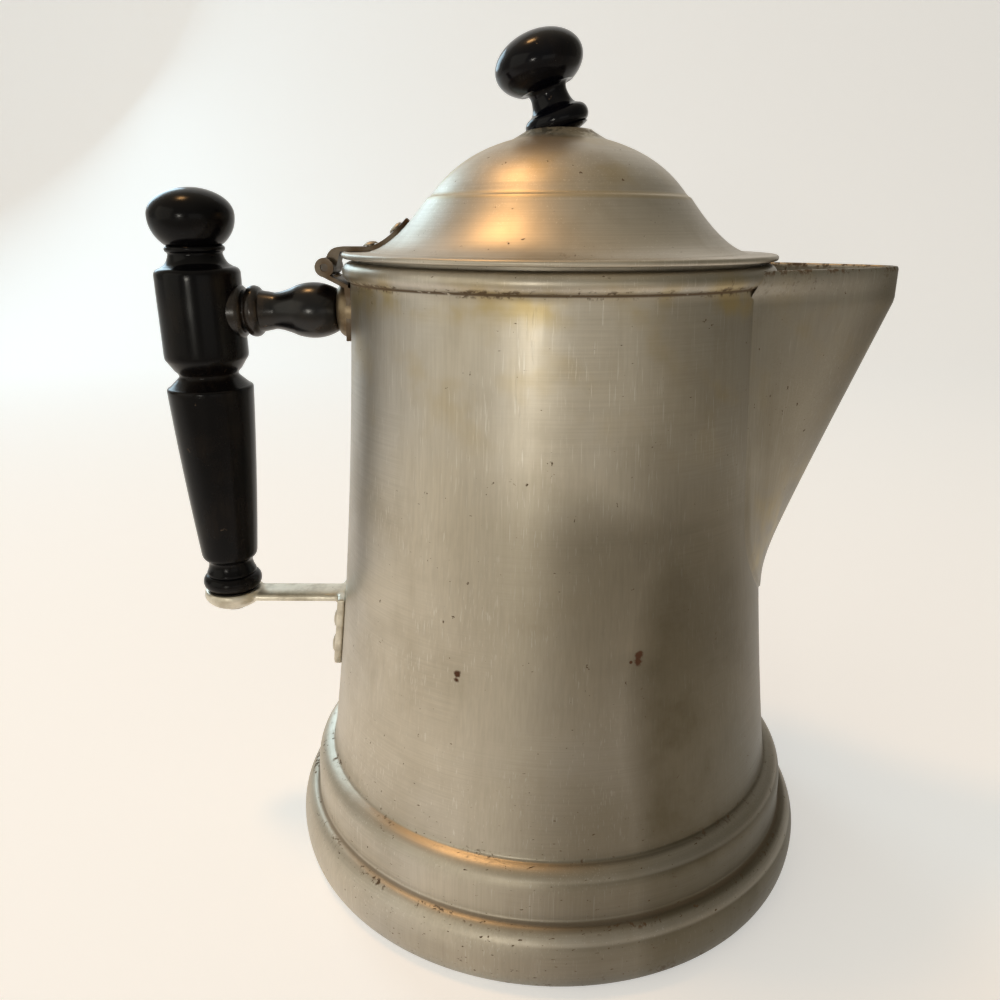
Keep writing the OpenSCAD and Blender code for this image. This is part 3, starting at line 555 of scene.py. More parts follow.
def aluminium(
    name, finish, lines, dirt_bands, stain_and_shade_bands, worn, pit_share=0.30, spots=(), painted_shade=None, scuff=0.0
):
    """Worn satin aluminium: brushing, scratches, pits, tarnish, dirt at given heights, and a painted shade
    where a mask for it is given.

    Each band of dirt or stain, and likewise the painted shade line at the lid's ridge, is given by its
    middle height, half width, soft edge, strength and sparseness.
    """
    s = Surface(name)
    upright = s.noise(s.scaled(1500.0, 1500.0, 34.0), detail=3.0)
    hoops = s.noise(s.rings(2300.0, 48.0), detail=3.0)
    patch = s.noise(s.place, 30.0, 3.0)
    if lines == "turned":
        brush = hoops
    else:
        share = s.ramp(patch, 0.40, 0.60)
        brush = s.add("ShaderNodeMix", {0: share, 2: upright, 3: hoops}).outputs[0]
    cloud = s.noise(s.place, 34.0, 5.0, 0.62)
    drift = s.noise(s.place, 13.0, 3.0, 0.5)
    streak = s.noise(s.scaled(150.0, 150.0, 9.0), detail=4.0)
    marks = s.most(
        s.scratches((0, 0, 0), 0.68), s.scratches((18, 12, 0), 0.66), s.scratches((-32, 24, 0), 0.67),
        s.scratches((74, 20, 30), 0.68),
    )
    low_down = s.ramp(s.z, 14 * MM, 70 * MM, 0.05, 0.0)
    pit = s.most(s.pits(210.0, 0.10, pit_share), s.pits(95.0, 0.055, pit_share * 0.7))
    pit = s.most(pit, s.flecks(1500.0, 620.0, 0.75, low_down))
    grey = sum(finish.aluminium) / 3
    dulled = (0.98 * grey, 0.95 * grey, 0.90 * grey)
    scratched = (1.55 * grey, 1.52 * grey, 1.42 * grey)
    tone = s.mix(s.ramp(drift, 0.38, 0.64, 0.0, 0.6), tuple(finish.aluminium), dulled)
    tone = s.mix(s.ramp(cloud, 0.42, 0.74, 0.0, 0.42), tone, tuple(finish.tarnish))
    tone = s.mix(s.ramp(streak, 0.48, 0.78, 0.0, 0.22), tone, tuple(finish.tarnish))
    tone = s.mix(s.ramp(brush, 0.30, 0.72, 0.0, 0.20), tone, tuple(0.55 * c for c in finish.aluminium))
    tone = s.mix(s.product(marks, 0.36), tone, scratched)
    # Painted shade: a dark tarnish tone laid where the metal's reflections should be dark
    if painted_shade:
        shade_tone = tuple(k * c for k, c in zip(SHADE_SHARE, finish.tarnish))
        tone = s.mix(painted_shade(s, cloud), tone, shade_tone)
    crust = s.noise(s.place, 620.0, 4.0, 0.65)
    clump = s.noise(s.place, 75.0, 3.0, 0.5)
    # Stains, and a painted shade line along the lid's ridge
    for middle, half, soft, strength, low in stain_and_shade_bands:
        hit = s.product(s.band(s.z, middle, half, soft), s.ramp(clump, low, low + 0.25), strength)
        tone = s.mix(hit, tone, tuple(finish.stain_and_shade))
    dirt = pit
    grime = s.math("MULTIPLY_ADD", crust, 0.65, s.math("MULTIPLY", clump, 0.35))
    for middle, half, soft, strength, low in dirt_bands:
        hit = s.product(s.band(s.z, middle, half, soft), s.ramp(grime, low, low + 0.07), strength)
        dirt = s.most(dirt, hit)
    tone = s.mix(dirt, tone, tuple(finish.dirt))
    for place, size in spots:
        away = s.add("ShaderNodeVectorMath", {0: s.place, 1: place}, operation="DISTANCE").outputs["Value"]
        ragged = s.math("MULTIPLY_ADD", crust, 1.6 * size, away)
        spot = s.ramp(ragged, 1.45 * size, 2.0 * size, 1.0, 0.0)
        tone = s.mix(spot, tone, tuple(finish.rust))
        dirt = s.most(dirt, spot)
    s.feed(s.shader.inputs["Base Color"], tone)
    s.feed(s.shader.inputs["Metallic"], s.ramp(dirt, 0.0, 1.0, 1.0, 0.0))
    rough = s.math("MULTIPLY_ADD", cloud, 0.14, worn - 0.07)
    rough = s.math("MULTIPLY_ADD", brush, 0.10, s.math("SUBTRACT", rough, 0.05))
    rough = s.math("ADD", rough, s.ramp(s.z, 28 * MM, 33 * MM, scuff, 0.0))
    s.feed(s.shader.inputs["Roughness"], s.math("MULTIPLY_ADD", dirt, 0.35, rough))
    height = s.math("MULTIPLY_ADD", brush, 0.4, s.math("MULTIPLY", s.most(marks, pit), -0.6))
    s.feed(s.shader.inputs["Normal"], s.bump(height, 0.05 * MM, 0.35))
    return s.material


def inside_metal(name, finish):
    """The dull inside of the pot, stained brown by coffee."""
    s = Surface(name)
    cloud = s.noise(s.place, 45.0, 5.0, 0.65)
    line = s.noise(s.rings(900.0, 12.0), detail=3.0)
    low = s.ramp(s.z, 20 * MM, 150 * MM, 0.85, 0.25)
    tone = s.mix(s.product(low, s.ramp(cloud, 0.3, 0.7)), tuple(finish.tarnish), (0.075, 0.046, 0.024))
    tone = s.mix(s.ramp(line, 0.5, 0.8, 0.0, 0.35), tone, tuple(0.5 * c for c in finish.tarnish))
    s.feed(s.shader.inputs["Base Color"], tone)
    s.feed(s.shader.inputs["Metallic"], s.ramp(cloud, 0.3, 0.7, 0.95, 0.6))
    s.feed(s.shader.inputs["Roughness"], s.ramp(cloud, 0.2, 0.8, 0.42, 0.66))
    s.feed(s.shader.inputs["Normal"], s.bump(line, 0.05 * MM, 0.4))
    return s.material


def ebonised_wood(name, base, lightened, wear, gloss, shine):
    """Black stained wood with a thin polish: fine grain, handling wear and small nicks."""
    s = Surface(name)
    grain = s.noise(s.scaled(620.0, 620.0, 26.0), detail=4.0)
    cloud = s.noise(s.place, 70.0, 4.0)
    nick = s.pits(260.0, 0.13, 0.16)
    mask = s.product(s.ramp(cloud, 0.46, 0.70), s.ramp(grain, 0.35, 0.65, 0.4, 1.0), wear)
    tone = s.mix(mask, base, lightened)
    tone = s.mix(s.ramp(grain, 0.55, 0.8, 0.0, 0.5), tone, tuple(0.45 * c for c in base))
    tone = s.mix(s.product(nick, 0.6), tone, tuple(1.6 * c for c in lightened))
    s.feed(s.shader.inputs["Base Color"], tone)
    s.feed(s.shader.inputs["Roughness"], s.math("MULTIPLY_ADD", cloud, 0.20, gloss - 0.10))
    s.shader.inputs["Specular IOR Level"].default_value = shine
    height = s.math("SUBTRACT", s.math("MULTIPLY", grain, 0.5), nick)
    s.feed(s.shader.inputs["Normal"], s.bump(height, 0.08 * MM, 0.35))
    return s.material


def old_metal(name, base, dark, rough, grain_scale, dark_share):
    """Small metal parts: mottled, darker in places, finely grained."""
    s = Surface(name)
    grain = s.noise(s.place, grain_scale, 4.0, 0.6)
    cloud = s.noise(s.place, 150.0, 4.0, 0.6)
    pit = s.pits(330.0, 0.12, 0.22)
    tone = s.mix(s.ramp(cloud, 0.40, 0.68, 0.0, dark_share), base, dark)
    tone = s.mix(s.ramp(grain, 0.5, 0.75, 0.0, 0.3), tone, tuple(0.7 * c for c in base))
    tone = s.mix(s.product(pit, 0.8), tone, dark)
    s.feed(s.shader.inputs["Base Color"], tone)
    s.feed(s.shader.inputs["Metallic"], s.ramp(cloud, 0.40, 0.75, 1.0, 0.7))
    s.feed(s.shader.inputs["Roughness"], s.math("MULTIPLY_ADD", cloud, 0.25, rough - 0.10))
    height = s.math("SUBTRACT", s.math("MULTIPLY", grain, 0.6), pit)
    s.feed(s.shader.inputs["Normal"], s.bump(height, 0.06 * MM, 0.4))
    return s.material


# Soft dents that show on the wall: angle from the front, height, size and depth
DENTS = (
    (-24.6, 76.9, 5.0, 0.30),
    (17.7, 82.9, 6.0, 0.36),
    (2.0, 62.0, 14.0, 0.10),
    (-34.0, 120.0, 18.0, 0.12),
    (28.0, 128.0, 16.0, 0.10),
    (150.0, 70.0, 16.0, 0.20),
    (205.0, 110.0, 13.0, 0.16),
)

# Rust spots on the wall: angle from the front, height and size
RUST_SPOTS = (
    (-24.6, 77.6, 0.95),
    (-24.8, 75.9, 0.75),
    (17.5, 84.0, 1.1),
    (17.3, 82.5, 1.15),
    (15.6, 82.5, 0.5),
)


def wall_radius(z):
    """Outer radius of the wall at a height."""
    p = settings().shell
    top = p.rim - p.bead_h
    s = (top - z) / (top - p.crease)
    return p.mouth + (p.waist - p.mouth) * s - 4 * p.bow * s * (1 - s)


def wall_shift(around, z):
    """Radial unevenness of the old wall at an angle from the front and a height."""
    p = settings().shell
    spot = Vector((1.4 * math.cos(around), 1.4 * math.sin(around), 26.0 * z))
    shift = p.ripple * noise.noise(spot)
    for at, height, size, depth in DENTS:
        turned = (around - math.radians(at) + math.pi) % TURN - math.pi
        away = math.hypot(turned * p.waist, z - height * MM) / (size * MM)
        if away < 3.0:
            shift -= depth * MM * math.exp(-away * away)
    fade = step(z, p.crease, p.crease + 12 * MM) * (1 - step(z, p.rim - 14 * MM, p.rim - p.bead_h))
    return shift * fade


def uneven(point):
    """A point of the body moved by the wall's unevenness."""
    around = math.atan2(point.x, -point.y)
    radius = math.hypot(point.x, point.y)
    share = 1 + wall_shift(around, point.z) / radius
    return Vector((point.x * share, point.y * share, point.z))


def ledge(outer_r, low_z, top, run):
    """Soft side and top of a ledge, from its widest point up to the crease at the point top."""
    p = settings().shell
    pull = (top[0] + run * math.sin(p.ledge_lean), top[1] - run * math.cos(p.ledge_lean))
    rows = 30
    points = []
    for i in range(rows + 1):
        t = i / rows
        low, side, over, high = (1 - t) ** 3, 3 * t * (1 - t) ** 2, 3 * t * t * (1 - t), t**3
        r = (low + side) * outer_r + over * pull[0] + high * top[0]
        points.append((r, low * low_z + side * (low_z + p.ledge_side) + over * pull[1] + high * top[1]))
    return points


def shell_lines():
    """Outer and inner line of the body, from the middle of the bottom to the rim and back."""
    p = settings().shell
    half = p.groove / 2
    top = p.rim - p.bead_h
    bead_mid = (p.mouth - p.sheet / 2, p.rim - p.bead_h / 2)
    low_wall = p.crease + p.fillet
    top_edge = (p.waist + p.fillet, p.crease - p.fillet / 3)
    shoulder_top = ledge(p.shoulder, p.crease - 0.8 * p.shoulder_h, top_edge, p.shoulder_run)
    bottom_rows = 10
    outer = [(p.sole * i / bottom_rows, 0.0) for i in range(bottom_rows)]
    outer += arc((p.sole, half), p.foot - p.sole, half, -90, 0, 22)
    outer += ledge(p.foot, half, (p.groove_r, p.groove), p.foot_run)[1:]
    side = (p.shoulder + 0.06 * MM, p.groove + 1.5 * MM)
    outer += bend(outer[-1], (p.shoulder + 0.1 * MM, p.groove + 0.45 * MM), side, 8)[1:]
    outer += shoulder_top
    wall_foot = (wall_radius(low_wall), low_wall)
    outer += bend(shoulder_top[-1], (p.waist + 0.1 * MM, p.crease), wall_foot, 5)[1:]
    rows = 64
    outer += [(wall_radius(z), z) for z in (low_wall + (top - low_wall) * i / rows for i in range(1, rows))]
    bead = arc(bead_mid, p.bead_out + p.sheet / 2, p.bead_h / 2, -70, 128, 40)
    neck_z = top - 0.3 * MM
    outer += bend((wall_radius(neck_z), neck_z), (bead[0][0] - 0.2 * MM, bead[0][1] - 0.2 * MM), bead[0], 5)
    inner = [q for q in beside(outer[bottom_rows:], p.sheet) if q[1] < top - p.bead_h]
    inner_top = [(p.mouth - p.sheet, top), (p.mouth - p.sheet, p.rim - p.bead_h * 0.42)]
    outer += bead[1:]
    bottom = [(p.sole * i / 6, p.sheet) for i in range(5, -1, -1)]
    return outer, inner_top[::-1] + inner[::-1] + bottom


def window_cutter():
    """A prism through the wall behind the spout."""
    p = settings().shell
    top = p.rim - p.window_drop
    low = top - p.window_h + p.window_r
    lean = math.degrees(math.atan((p.window_w - p.window_r) / (p.window_h - p.window_r)))
    outline = [(-p.window_w, top)]
    outline += arc((0.0, low), p.window_r, p.window_r, 180 + lean / 2, 360 - lean / 2, 32)
    outline += [(p.window_w, top)]
    bm = bmesh.new()
    near, far = 0.5 * p.mouth, 1.5 * p.mouth
    rings = [[bm.verts.new((x, y, z)) for y, z in outline] for x in (near, far)]
    joined(bm, rings[0], rings[1])
    for ring in rings:
        bm.faces.new(ring)
    return to_object(bm, "window_cutter")


class COFFEEPOT_OT_body(bpy.types.Operator):
    """Spins the pot's body, opens the strainer window in it and paints the strainer behind it"""

    bl_idname = "coffee_pot.body"
    bl_label = "Body"

    def execute(self, context):
        finish = settings().finish
        p = settings().shell
        outer, inside = shell_lines()
        bm = bmesh.new()
        spun(bm, outer + inside, 288, moved=uneven, inside_from=len(outer))
        body = to_object(bm, "pot_shell")
        cutter = window_cutter()
        cut = body.modifiers.new("window", "BOOLEAN")
        cut.operation = "DIFFERENCE"
        cut.solver = "EXACT"
        cut.object = cutter
        baked(body)
        bpy.data.objects.remove(cutter)
        under = p.rim - p.bead_h
        dirt_bands = (
            (under + 0.0 * MM, 0.1 * MM, 0.45 * MM, 0.9, 0.34),
            (under + 0.1 * MM, 0.4 * MM, 0.9 * MM, 0.9, 0.50),
            (under + 2.2 * MM, 1.4 * MM, 2.0 * MM, 0.9, 0.62),
            (p.crease + 0.2 * MM, 0.2 * MM, 1.0 * MM, 0.9, 0.57),
            (p.groove - 0.5 * MM, 0.2 * MM, 0.8 * MM, 0.95, 0.55),
            (p.groove + 0.35 * MM, 0.1 * MM, 0.5 * MM, 0.5, 0.10),
            (p.groove + 2.6 * MM, 1.2 * MM, 3.0 * MM, 0.9, 0.63),
            (0.5 * MM, 1.0 * MM, 5.0 * MM, 0.8, 0.57),
        )
        stain_and_shade_bands = (
            (under - 1.5 * MM, 1 * MM, 6 * MM, 0.7, 0.38),
            (under - 14 * MM, 4 * MM, 30 * MM, 0.35, 0.50),
        )
        spots = []
        for at, height, size in RUST_SPOTS:
            a = math.radians(at)
            r = wall_radius(height * MM)
            spots.append(((r * math.sin(a), -r * math.cos(a), height * MM), size * MM))
        # The body gets painted shade on its front, beside the spout and on its shoulder and foot
        skin = aluminium(
            "spun_body", finish, "brushed", dirt_bands, stain_and_shade_bands, worn=0.41, spots=spots, painted_shade=body_painted_shade,
            scuff=0.07,
        )
        lining = inside_metal("stained_inside", finish)
        dressed(body, "pot", "spun_aluminium", (skin, lining), "pot_body", sharp=50.0)
        painted(lining, "spout_strainer")
        return {"FINISHED"}


def spout_half(z):
    """Half angle that the spout covers at a height."""
    p = settings().spout
    if z > p.root_z:
        return p.root
    return p.root * math.sqrt(max(0.004, 1 - ((p.root_z - z) / (p.root_z - p.toe)) ** 2))


def spout_reach(z):
    """How far the keel stands out of the wall at a height."""
    p = settings().spout
    keel_z = p.top - p.nose_h
    line = p.nose if z > keel_z else p.nose - p.keel * (keel_z - z)
    return softened(line - wall_radius(z), 0.5 * MM)


def spout_seat(z):
    """Radius that the spout's edges stand on: the wall, then out past the rim bead."""
    p = settings().shell
    stage_z = p.rim - p.bead_h - p.bead_out
    if z < stage_z:
        return wall_radius(z)
    return min(wall_radius(stage_z) + 0.62 * (z - stage_z), p.mouth + p.bead_out)


def swell(u):
    """Share of the keel's reach at a share u of the half angle."""
    p = settings().spout
    k = (math.sqrt(u * u + p.sharp * p.sharp) - p.sharp) / (math.sqrt(1 + p.sharp * p.sharp) - p.sharp)
    return (1 - k) * (1 - p.bulge * k)


def spout_ring(z, columns, inset=0.0):
    """Closed section of the spout's sheet at a height: outside, then inside."""
    p = settings().spout
    sheet = 1.35 * settings().shell.sheet
    seat_r = spout_seat(z)
    reach = spout_reach(z) - seat_r + wall_radius(z)
    half = spout_half(z)
    spread = 1.10
    toe_sink = 0.3 * MM * (1 - step(z, p.toe, p.toe + 6 * MM))
    outside, inside = [], []
    for i in range(columns + 1):
        u = spread * (2 * i / columns - 1)
        a = half * u
        around = a + math.pi / 2
        rise = softened(reach * swell(abs(u)), p.weld) - 0.55 * MM * step(abs(u), 0.98, spread) - toe_sink
        r = seat_r + rise + wall_shift(around, z)
        outside.append(Vector((r * math.cos(a), r * math.sin(a), z)))
        v = 0.93 * (2 * i / columns - 1)
        a = half * v
        r = seat_r + max(0.0, reach - sheet) * max(0.0, swell(abs(v) / 0.93)) - 0.1 * MM
        inside.append(Vector((r * math.cos(a), r * math.sin(a), z)))
    if inset:
        pairs = [(o.lerp(i, inset), i.lerp(o, inset)) for o, i in zip(outside, inside)]
        outside = [q[0] for q in pairs]
        inside = [q[1] for q in pairs]
    return outside, inside


class COFFEEPOT_OT_spout(bpy.types.Operator):
    """Lofts the beak spout out of the wall, with a soft weld at its root and a rounded top edge"""

    bl_idname = "coffee_pot.spout"
    bl_label = "Spout"

    def execute(self, context):
        p = settings().spout
        rows, columns = 72, 96
        lip = 1.0 * MM
        heights = [p.toe + (p.top - lip - p.toe) * (i / rows) ** 1.15 for i in range(rows + 1)]
        sections = [spout_ring(z, columns) for z in heights]
        for share, inset in ((0.5, 0.05), (0.8, 0.14), (0.95, 0.26), (1.0, 0.38)):
            sections.append(spout_ring(p.top - lip * (1 - share), columns, inset))
        bm = bmesh.new()
        rings = []
        for outside, inside in sections:
            rings.append([bm.verts.new(q) for q in outside + list(reversed(inside))])
        for lower, upper in zip(rings, rings[1:]):
            joined(bm, lower, upper)
        for ring in (rings[0], rings[-1]):
            for k in range(columns):
                last = len(ring) - 1
                bm.faces.new((ring[k], ring[k + 1], ring[last - k - 1], ring[last - k]))
        piece = to_object(bm, "beak_spout")
        top = p.top
        dirt_bands = (
            (top - 0.2 * MM, 0.3 * MM, 1.2 * MM, 0.9, 0.50),
            (top - 3 * MM, 1 * MM, 3 * MM, 0.35, 0.55),
        )
        stain_and_shade_bands = (
            (top - 12 * MM, 6 * MM, 30 * MM, 0.25, 0.5),
            (p.toe + 10 * MM, 12 * MM, 25 * MM, 0.5, 0.42),
        )
        finish = settings().finish
        # The spout gets painted shade along its keel and at its toe
        skin = aluminium(
            "spout_sheet", finish, "brushed", dirt_bands, stain_and_shade_bands, worn=0.42, painted_shade=spout_painted_shade
        )
        dressed(piece, "pot", "spun_aluminium", (skin,), "spout", sharp=48.0)
        return {"FINISHED"}


def lid_lines():
    """Outer line of the lid from the brim to the crown, and the line under it."""
    p = settings().lid
    shell = settings().shell
    low = shell.rim + p.gap
    top = low + p.brim_t
    ridge_z = top + p.ridge_h
    crown_z = top + p.crown_h
    dome = (p.ridge - p.ledge, ridge_z + p.ledge / 2)
    foot = (p.crown * 1.5, crown_z - (crown_z - dome[1]) * 0.15)
    flare_mid = (p.ridge + (p.flare - p.ridge) * 0.58, top + p.ridge_h * 0.04)
    dome_mid = (dome[0] - (dome[0] - foot[0]) * 0.33, dome[1] + (foot[1] - dome[1]) * 0.73)
    brim = arc((p.brim - p.brim_t / 2, low + p.brim_t / 2), p.brim_t / 2, p.brim_t / 2, -90, 90, 16)
    brim += [(p.brim - p.brim_t / 2 - 1.6 * MM, top - 0.12 * MM)]
    rise_end = (p.flare - 1.2 * MM, top + 0.1 * MM)
    rise = bend((p.flare + 1.2 * MM, top - 0.1 * MM), (p.flare, top), rise_end, 4)
    flare = bend((p.flare, top), flare_mid, (p.ridge, ridge_z), 40)
    flare = [q for q in flare if q[0] < p.flare - 1.3 * MM]
    ridge = bend(flare[-1], (p.ridge - 0.35 * p.ledge, ridge_z + 0.72 * p.ledge), dome, 6)
    cap = bend(dome, dome_mid, foot, 40)
    crown = bend(foot, (p.crown * 1.15, crown_z - 0.9 * MM), (p.crown, crown_z), 8)
    line = brim + rise + eased(flare + ridge[1:] + cap[1:], 5) + crown[1:]
    under = beside(line[len(brim):], p.sheet)
    skirt_r = shell.mouth - shell.sheet - p.skirt_play
    skirt = [
        (skirt_r - p.sheet, low), (skirt_r - p.sheet, low - p.skirt), (skirt_r - 0.3 * MM, low - p.skirt),
        (skirt_r, low),
    ]
    inside = [(0.0, crown_z - p.sheet), (p.crown - p.sheet, crown_z - p.sheet)]
    inside += [q for q in reversed(under) if skirt_r - 1.5 * p.sheet > q[0] > p.crown - p.sheet]
    return line + [(0.0, crown_z)], inside + skirt


def lid_uneven(point):
    """A point of the lid moved by its old dents."""
    p = settings().lid
    spot = Vector((38.0 * point.x, 38.0 * point.y, 60.0 * point.z))
    radius = math.hypot(point.x, point.y)
    fade = step(radius, 10 * MM, 20 * MM) * (1 - step(radius, 48 * MM, 53 * MM))
    return point + Vector((0, 0, fade * p.ripple * noise.noise(spot)))


class COFFEEPOT_OT_lid(bpy.types.Operator):
    """Spins the domed lid with its brim, ridge and skirt"""

    bl_idname = "coffee_pot.lid"
    bl_label = "Lid"

    def execute(self, context):
        finish = settings().finish
        p = settings().lid
        line, inside = lid_lines()
        bm = bmesh.new()
        spun(bm, line + inside, 256, closed=True, moved=lid_uneven, inside_from=len(line) - 1)
        piece = to_object(bm, "domed_lid")
        top = settings().shell.rim + p.gap + p.brim_t
        dirt_bands = (
            (top + p.crown_h, 0.6 * MM, 2.6 * MM, 0.55, 0.48),
            (top + 0.3 * MM, 0.2 * MM, 1.0 * MM, 0.35, 0.60),
        )
        stain_and_shade_bands = (
            (top + p.crown_h - 6 * MM, 4 * MM, 14 * MM, 0.35, 0.45),
            # Painted shade: a thin brown line along the ridge's step, standing in for its shadow line
            (top + p.ridge_h + 0.4 * MM, 0.4 * MM, 0.7 * MM, 0.35, 0.10),
        )
        skin = aluminium("spun_lid", finish, "turned", dirt_bands, stain_and_shade_bands, worn=0.43, pit_share=0.75)
        lining = inside_metal("lid_inside", finish)
        dressed(piece, "lid", "spun_aluminium", (skin, lining), "lid", sharp=50.0)
        return {"FINISHED"}


class COFFEEPOT_OT_hinge(bpy.types.Operator):
    """Finishes the hinge's leaves and pin, and the rivets, screws, stud, nut and washers"""

    bl_idname = "coffee_pot.hinge"
    bl_label = "Hinge"

    def execute(self, context):
        finish = settings().finish
        dark = tuple(finish.dirt)
        leaf = old_metal("hinge_metal", tuple(finish.hinge), dark, 0.46, 900.0, 0.7)
        rivet = old_metal("rivet_metal", tuple(finish.aluminium), dark, 0.42, 900.0, 0.5)
        steel = old_metal("screw_steel", tuple(finish.steel), dark, 0.40, 1200.0, 0.5)
        pin = old_metal("pin_steel", tuple(0.35 * c for c in finish.steel), dark, 0.45, 1200.0, 0.6)
        painted(leaf, "body_hinge_leaf", "lid_hinge_leaf")
        painted(pin, "hinge_pin")
        painted(rivet, "lid_hinge_rivets", "bracket_rivets", "knob_washer")
        painted(steel, "strut_stud", "stud_washer", "stud_nut", "grip_screw", "knob_screw")
        return {"FINISHED"}


def grip_frame():
    """Places the grip: its axis is Z, height 0 is at the strut."""
    p = settings().handle
    height = settings().shell.rim - p.drop
    return Matrix.Translation((-p.reach, 0, height)) @ Matrix.Rotation(-p.lean, 4, "Y")


def strut_frame():
    """Places the strut: its axis is Z, height is measured outwards from the pot's axis."""
    p = settings().handle
    height = settings().shell.rim - p.drop
    turn = Matrix.Rotation(-math.pi / 2 - p.lean, 4, "Y")
    return Matrix.Translation((-p.reach, 0, height)) @ turn @ Matrix.Translation((0, 0, -p.reach))


def boss_reach():
    """Height of the boss's back and face on the strut's axis."""
    p = settings().handle
    shell = settings().shell
    root_z = shell.rim - p.drop + (p.reach - shell.mouth) * math.tan(p.lean)
    back = wall_radius(root_z) + p.leaf + 2 * SEAT
    return back, back + p.boss_t


def worn_turning(point):
    """A point of the turned wood moved by small handling dents."""
    spot = 130.0 * point
    return point * (1 + 0.05 * MM * noise.noise(spot) / max(point.length, 5 * MM))


class COFFEEPOT_OT_handle(bpy.types.Operator):
    """Turns the black grip and its strut, and spins the boss on the wall"""

    bl_idname = "coffee_pot.handle"
    bl_label = "Handle"

    def execute(self, context):
        finish = settings().finish
        ebony, lightened = tuple(finish.ebony), tuple(finish.lightened)
        grip_wood = ebonised_wood("grip_wood", ebony, lightened, 0.16, 0.20, 0.14)
        strut_wood = ebonised_wood("strut_wood", ebony, lightened, 0.9, 0.24, 0.42)
        self.grip(grip_wood)
        self.strut(strut_wood)
        self.boss(old_metal("boss_metal", tuple(finish.boss), tuple(finish.dirt), 0.42, 700.0, 0.8))
        return {"FINISHED"}

    def grip(self, wood):
        p = settings().handle
        finial_mid = p.up - 7.2 * MM
        throat = p.neck - 0.7 * MM
        throat_top = 16.0 * MM
        block_top = 10.4 * MM
        block_low = -12.2 * MM
        side_low = block_low + 0.8 * MM
        neck_low = -18.4 * MM
        taper_top = -21.4 * MM
        taper_low = -71 * MM
        foot = -p.down
        line = [(0.0, foot), (p.foot - 1.2 * MM, foot)]
        line += arc((p.foot - 2 * MM, foot + 2.6 * MM), 2 * MM, 2.4 * MM, -75, 75, 14)
        line += [(p.foot - 1.3 * MM, foot + 5.4 * MM)]
        line += bend(
            (p.grip_end - 0.9 * MM, foot + 5.8 * MM), (p.grip_end - 1.6 * MM, foot + 7.2 * MM),
            (p.grip_end - 1.7 * MM, taper_low - 3 * MM), 8,
        )
        line += bend(
            (p.grip_end - 1.4 * MM, taper_low - 2 * MM), (p.grip_end - 0.2 * MM, taper_low - 1.4 * MM),
            (p.grip_end, taper_low), 6,
        )
        middle = ((p.grip_end + p.grip) / 2 + 0.5 * MM, (taper_low + taper_top) / 2)
        line += bend((p.grip_end + 0.1 * MM, taper_low + 1 * MM), middle, (p.grip, taper_top), 40)
        line += bend(
            (p.grip - 0.05 * MM, taper_top + 0.3 * MM), (p.grip - 0.2 * MM, taper_top + 0.8 * MM),
            (p.grip - 0.9 * MM, taper_top + 1.0 * MM), 5,
        )
        line += [(p.neck + 0.9 * MM, neck_low + 0.1 * MM)]
        line += bend(
            (p.neck + 0.3 * MM, neck_low + 0.7 * MM), (p.neck, neck_low + 1.6 * MM),
            (p.neck + 1.3 * MM, neck_low + 2.6 * MM), 8,
        )
        line += bend(
            (p.block - 0.6 * MM, block_low - 1.0 * MM), (p.block, block_low - 0.4 * MM),
            (p.block, side_low), 6,
        )
        rows = 16
        line += [(p.block, side_low + (block_top - side_low) * i / rows) for i in range(1, rows)]
        line += arc((p.block - 2.0 * MM, block_top - 0.2 * MM), 2.0 * MM, 1.9 * MM, 6, 84, 12)
        line += bend(
            (p.block - 2.2 * MM, block_top + 2.0 * MM), (throat + 0.6 * MM, block_top + 2.6 * MM),
            (throat, throat_top - 0.4 * MM), 10,
        )
        line += arc((throat - 0.1 * MM, throat_top + 0.9 * MM), 0.9 * MM, 0.9 * MM, -70, 80, 10)
        line += bend(
            (throat + 0.6 * MM, throat_top + 2.1 * MM), (p.finial, finial_mid - 4.5 * MM),
            (p.finial, finial_mid), 16,
        )
        line += arc((0.0, finial_mid), p.finial, p.up - finial_mid, 4, 87, 28)
        line += [(0.0, p.up)]
        bm = bmesh.new()
        spun(bm, line, 144, moved=worn_turning, matrix=grip_frame())
        dressed(to_object(bm, "turned_grip"), "pot", "black_wood", (wood,), "handle_grip", sharp=44.0)

    def strut(self, wood):
        p = settings().handle
        face = boss_reach()[1]
        start = face + SEAT
        block_face = p.reach - p.block
        run = block_face - face
        ring = block_face - 3.4 * MM
        swelling = p.strut - p.waist
        line = [(0.0, start), (p.waist, start)]
        line += bend(
            (p.waist + 0.8 * MM, start + 0.3 * MM), (p.strut + 1.2 * MM, start + run * 0.2),
            (p.strut - 0.6 * MM, start + run * 0.42), 20,
        )
        line += bend(
            (p.strut - 0.7 * MM, start + run * 0.43), (p.waist, start + run * 0.58),
            (p.waist, start + run * 0.66), 14,
        )
        line += arc((p.waist + 0.4 * MM, ring), swelling - 0.9 * MM, 2.0 * MM, -80, 80, 16)
        line += [(p.waist + 0.6 * MM, ring + 2.5 * MM)]
        line += arc((p.waist + 0.6 * MM, ring + 4.2 * MM), swelling - 0.7 * MM, 1.7 * MM, -90, 0, 10)
        line += [(p.strut - 0.1 * MM, block_face + 3.5 * MM), (0.0, block_face + 3.5 * MM)]
        bm = bmesh.new()
        spun(bm, line, 128, moved=worn_turning, matrix=strut_frame())
        dressed(to_object(bm, "turned_strut"), "pot", "black_wood", (wood,), "handle_strut", sharp=44.0)

    def boss(self, metal):
        p = settings().handle
        back, face = boss_reach()
        line = [(0.0, back - 2.0 * MM), (p.boss, back - 2.0 * MM)]
        line += arc((p.waist, back - p.boss_t * 0.35), p.boss - p.waist, p.boss_t * 1.35, 0, 90, 18)
        line += [(0.0, face)]
        bm = bmesh.new()
        spun(bm, line, 96, matrix=strut_frame())
        dressed(to_object(bm, "wall_boss"), "pot", "spun_aluminium", (metal,), "handle_boss")


